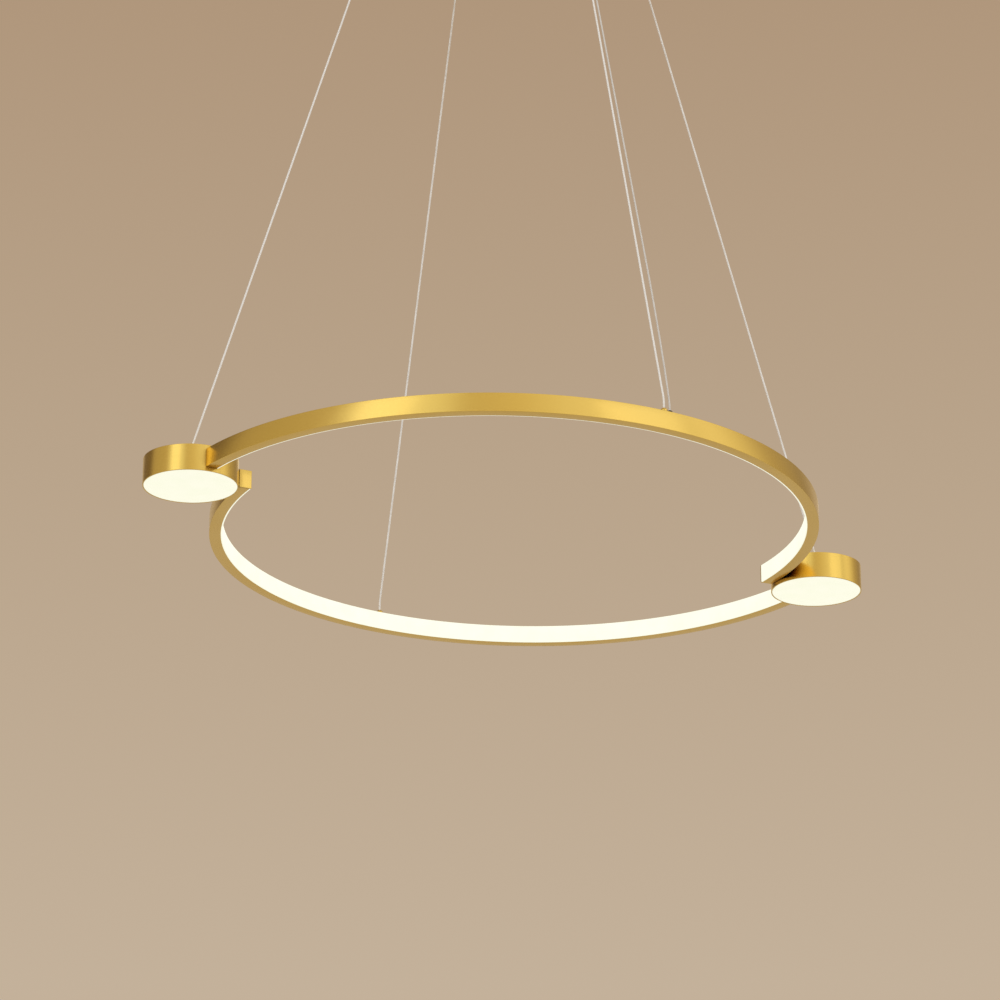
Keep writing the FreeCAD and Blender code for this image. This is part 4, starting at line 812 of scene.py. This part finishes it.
def nut(name, flats, stem, height, place):
    """A hexagon nut whose corners are turned off, leaving a round face on each side."""
    corner = flats / 2 / math.cos(math.pi / HEXAGON)
    face = flats * NUT_FACE_SHARE
    slope = (corner - face) / 2
    bore = stem + THREAD_GAP
    coin = lathe("coin", [
        (bore, 0), (face, 0), (corner, slope), (corner, height - slope), (face, height), (bore, height),
    ], place=place)
    return carve(prism(name, corner, 0, height, HEXAGON, place), [coin], "INTERSECT")


def gripper_nuts():
    """On the canopy's sheet, each turned its own way."""
    nuts = []
    for wire in WIRES:
        place = at(*wire.upper, FLOOR, len(nuts) * NUT_TURN)
        nuts.append(nut("nut", GRIPPER_NUT, GRIPPER_STEM, GRIPPER_NUT_H, place))
    return joined("gripper_nut_set", nuts)


def gland_nuts():
    """Under the roof of a disc or the upper flange of a half ring."""
    nuts = []
    for wire in WIRES:
        place = at(*wire.lower, wire.seat - wire.wall - GLAND_NUT_H)
        nuts.append(nut("nut", GLAND_NUT, GLAND_STEM, GLAND_NUT_H, place))
    return joined("gland_nut_set", nuts)


def wire_tails():
    """Each wire's tail, through its gripper and out above it."""
    top = STEM_TOP + WIRE_TAIL
    outline = [
        (0, PLUNGER_LOW), (WIRE_R, PLUNGER_LOW), (WIRE_R, top - EDGE), (WIRE_R - EDGE, top), (0, top),
    ]
    return joined("wire_tail_set", [
        lathe("tail", outline, SMALL_STEPS, at(*wire.upper, -CANOPY_H)) for wire in WIRES])


def wire_ends():
    """Each wire's lower end in its gland, with the crimped stop below."""
    low, top = -GLAND_STEM_LENGTH - STOP_LENGTH, -GLAND_STEM_LENGTH
    stop = eased([(0, low), (STOP_R, low), (STOP_R, top), (WIRE_R, top)])
    outline = [*stop, (WIRE_R, GLAND_H), (0, GLAND_H)]
    return joined("wire_end_set", [
        lathe("end", outline, SMALL_STEPS, at(*wire.lower, wire.seat)) for wire in WIRES])


def cable_bush():
    """Round bush for the supply cable, in the middle of the bracket."""
    outline = softened(((BUSH_BORE, -BUSH_H), (BUSH_R, -BUSH_H), (BUSH_R, 0), (BUSH_BORE, 0)),
                       2 * EDGE, sharp=(2, 3))
    return lathe("cable_bush", outline, BUSH_STEPS)


def driver_box():
    """Case with a lid that sits a little inside its edge."""
    seam, overlap, inset = 12.6, 0.6, 0.4
    length, width = DRIVER_L / 2, DRIVER_W / 2
    place = at(0, DRIVER_Y, FLOOR)
    case = block("case", (-length, -width, 0), (length, width, seam), place, CASE_EDGE, steps=4)
    lid = block("lid", (inset - length, inset - width, seam - overlap),
                (length - inset, width - inset, DRIVER_H), place, CASE_EDGE + inset, steps=4)
    return joined("driver_box", [case, lid])


def terminal_screws():
    """Slotted clamping screws at the bottom of the terminal block's wells, each turned its own way."""
    radius, slot_depth, slot_half, past = WELL_R - FIT, 1.0, 0.35, 1.0
    outline = [(0, 0), (radius, 0), (radius, CLAMP_H - EDGE), (radius - EDGE, CLAMP_H), (0, CLAMP_H)]
    clamps = []
    for pole in (-1, 0, 1):
        turn = CLAMP_TURN + pole * CLAMP_TURN_STEP
        place = at(pole * POLE_PITCH, TERMINAL_Y, FLOOR + TERMINAL_H - WELL_DEPTH, turn)
        slot = block("slot", (-WELL_R - past, -slot_half, CLAMP_H - slot_depth),
                     (WELL_R + past, slot_half, CLAMP_H + past), place, SLOT_EDGE)
        clamps.append(carve(lathe("clamp", outline, SMALL_STEPS, place), [slot]))
    return joined("terminal_screw_set", clamps)


dress(canopy(), "canopy_cover")
dress(gripper_nuts(), "gripper_nuts")
dress(gland_nuts(), "gland_nuts")
dress(wire_tails(), "wire_tails")
dress(wire_ends(), "wire_ends")
dress(nut("lead_nut", LEAD_NUT, LEAD_STEM, LEAD_NUT_H, at(*LEAD_UPPER, FLOOR)), "lead_gland_nut")
dress(cable_bush(), "supply_bush")
dress(driver_box(), "driver_case")
dress(terminal_screws(), "terminal_screws")

# ------------------------------------------------------------ floor, lamps and world, in metres
# The photo's view looks this way round and up, from this place.
TURN, YAW, RISE = math.radians(26.2), math.radians(-0.18), math.radians(20.62)
CAMERA_AT, LAMPS_AIM = Vector((-1.7050, -3.4650, -2.0950)), Vector((0, 0, -0.55))
SENSOR, LENS, FAR = 36.0, 162.0, 100.0
FLOOR_Z, FLOOR_HALF = -3.6, 24.0
PALE, LIGHTER = (0.53, 0.47, 0.42), (0.546, 0.484, 0.433)
SOFT_WHITE = (1.0, 0.97, 0.93)
WORLD_LIGHT = 0.95
# Colours seen round the room, by degrees from behind the camera towards its right; the view is at 180.
BEIGE, DARK_CORNER, WINDOW = (0.50, 0.40, 0.285), (0.18, 0.13, 0.10), (0.86, 0.79, 0.68)
WALLS = (
    (-180, BEIGE), (-158, BEIGE), (-140, DARK_CORNER), (-108, DARK_CORNER),
    (-94, (0.46, 0.38, 0.29)), (-72, (0.50, 0.42, 0.31)), (-56, (0.53, 0.44, 0.33)),
    (-43, (0.90, 0.87, 0.80)), (-16, (0.88, 0.85, 0.78)), (-8, (0.62, 0.53, 0.40)),
    (8, (0.71, 0.61, 0.46)), (28, WINDOW), (44, WINDOW),
    (56, (0.77, 0.71, 0.61)), (68, (0.78, 0.72, 0.62)), (82, (0.96, 0.88, 0.76)),
    (94, (0.82, 0.74, 0.61)), (112, (0.48, 0.39, 0.29)), (140, (0.32, 0.25, 0.18)),
    (158, BEIGE), (180, BEIGE),
)
# Colours of the plain backdrop, by the upward part of the direction of view.
BACKDROP = ((0.25, (0.55, 0.44, 0.325)), (0.36, (0.485, 0.370, 0.258)), (0.46, (0.43, 0.303, 0.197)))


def studio_floor():
    """A plain pale floor."""
    s = Shader("pale_floor", Roughness=0.9)
    s.feed(s.tones(s.noise(0.6), PALE, LIGHTER), "Base Color")
    bm = bmesh.new()
    bmesh.ops.create_grid(bm, x_segments=1, y_segments=1, size=FLOOR_HALF)
    floor = finished("studio_floor", bm)
    floor.location = (0, 0, FLOOR_Z)
    floor.data.materials.append(s.material)


def from_view(across, away, above):
    """A place across the view, away from the camera and above the half rings."""
    c, s = math.cos(TURN), math.sin(TURN)
    return Vector((across * c + away * s, away * c - across * s, above + RING_Z * MM))


def lamp(name, place, width, height, power):
    """A soft lamp that faces the middle of the light."""
    light = bpy.data.lights.new(name, "AREA")
    light.shape = "RECTANGLE"
    light.size, light.size_y = width, height
    light.energy = power
    light.color = SOFT_WHITE
    holder = bpy.data.objects.new(name, light)
    bpy.context.scene.collection.objects.link(holder)
    holder.location = place
    holder.rotation_euler = (LAMPS_AIM - place).to_track_quat("-Z", "Y").to_euler()


def room_colours(nodes, direction):
    """The colours round the room, by the direction's turn about the vertical."""
    turned_view = nodes.add("ShaderNodeMapping", {"Rotation": (0, 0, TURN + math.pi / 2)})
    nodes.link(direction, turned_view.inputs["Vector"])
    around = nodes.add("ShaderNodeTexGradient", gradient_type="RADIAL")
    nodes.link(turned_view.outputs["Vector"], around.inputs["Vector"])
    stops = [(0.5 + degrees / FULL_TURN, colour) for degrees, colour in WALLS]
    return nodes.colours(around.outputs["Fac"], stops)


def backdrop_colours(nodes, direction):
    height = nodes.add("ShaderNodeSeparateXYZ")
    nodes.link(direction, height.inputs["Vector"])
    return nodes.colours(height.outputs["Z"], BACKDROP)


def studio_world():
    """Even light on surfaces. The camera sees a plain backdrop, and metal shows a pale room round it."""
    world = bpy.data.worlds.new("studio")
    world.use_nodes = True
    nodes = Nodes(world.node_tree)
    nodes.tree.nodes.clear()
    direction = nodes.add("ShaderNodeTexCoord").outputs["Generated"]
    rays = nodes.add("ShaderNodeLightPath").outputs
    colour = nodes.add("ShaderNodeMix", data_type="RGBA")
    nodes.link(rays["Is Camera Ray"], colour.inputs["Factor"])
    nodes.link(room_colours(nodes, direction), colour.inputs["A"])
    nodes.link(backdrop_colours(nodes, direction), colour.inputs["B"])
    seen = nodes.add("ShaderNodeBackground", {"Strength": 1.0})
    nodes.link(colour.outputs["Result"], seen.inputs["Color"])
    lighting = nodes.add("ShaderNodeBackground", {"Strength": WORLD_LIGHT, "Color": (*SOFT_WHITE, 1.0)})
    mirrored = nodes.maximum(rays["Is Glossy Ray"], rays["Is Transmission Ray"])
    choice = nodes.add("ShaderNodeMixShader")
    nodes.link(nodes.maximum(rays["Is Camera Ray"], mirrored), choice.inputs["Fac"])
    nodes.link(lighting.outputs[0], choice.inputs[1])
    nodes.link(seen.outputs[0], choice.inputs[2])
    output = nodes.add("ShaderNodeOutputWorld")
    nodes.link(choice.outputs[0], output.inputs["Surface"])
    return world


def photo_camera():
    """Looks up at the light from the photo's side."""
    forward = Vector((math.sin(YAW) * math.cos(RISE), math.cos(YAW) * math.cos(RISE), math.sin(RISE)))
    right = Vector((math.cos(YAW), -math.sin(YAW), 0.0))
    turn = Matrix.Rotation(-TURN, 3, "Z")
    forward, right = turn @ forward, turn @ right
    up = right.cross(forward)
    data = bpy.data.cameras.new("camera")
    data.sensor_width = SENSOR
    data.sensor_fit = "HORIZONTAL"
    data.lens = LENS
    data.clip_end = FAR
    camera = bpy.data.objects.new("camera", data)
    bpy.context.scene.collection.objects.link(camera)
    facing = Matrix((right, up, -forward)).transposed().to_4x4()
    camera.matrix_world = Matrix.Translation(CAMERA_AT) @ facing
    return camera


studio_floor()
lamp("soft_left", from_view(across=-2.4, away=-3.4, above=1.2), width=1.5, height=2.6, power=4.5)
lamp("soft_right", from_view(across=3.3, away=-2.6, above=1.0), width=2.2, height=2.6, power=5.5)
lamp("soft_back", from_view(across=0.3, away=4.2, above=1.8), width=1.6, height=2.0, power=4.0)
bpy.context.scene.world = studio_world()
bpy.context.scene.camera = photo_camera()
bpy.context.scene.view_settings.view_transform = "Standard"
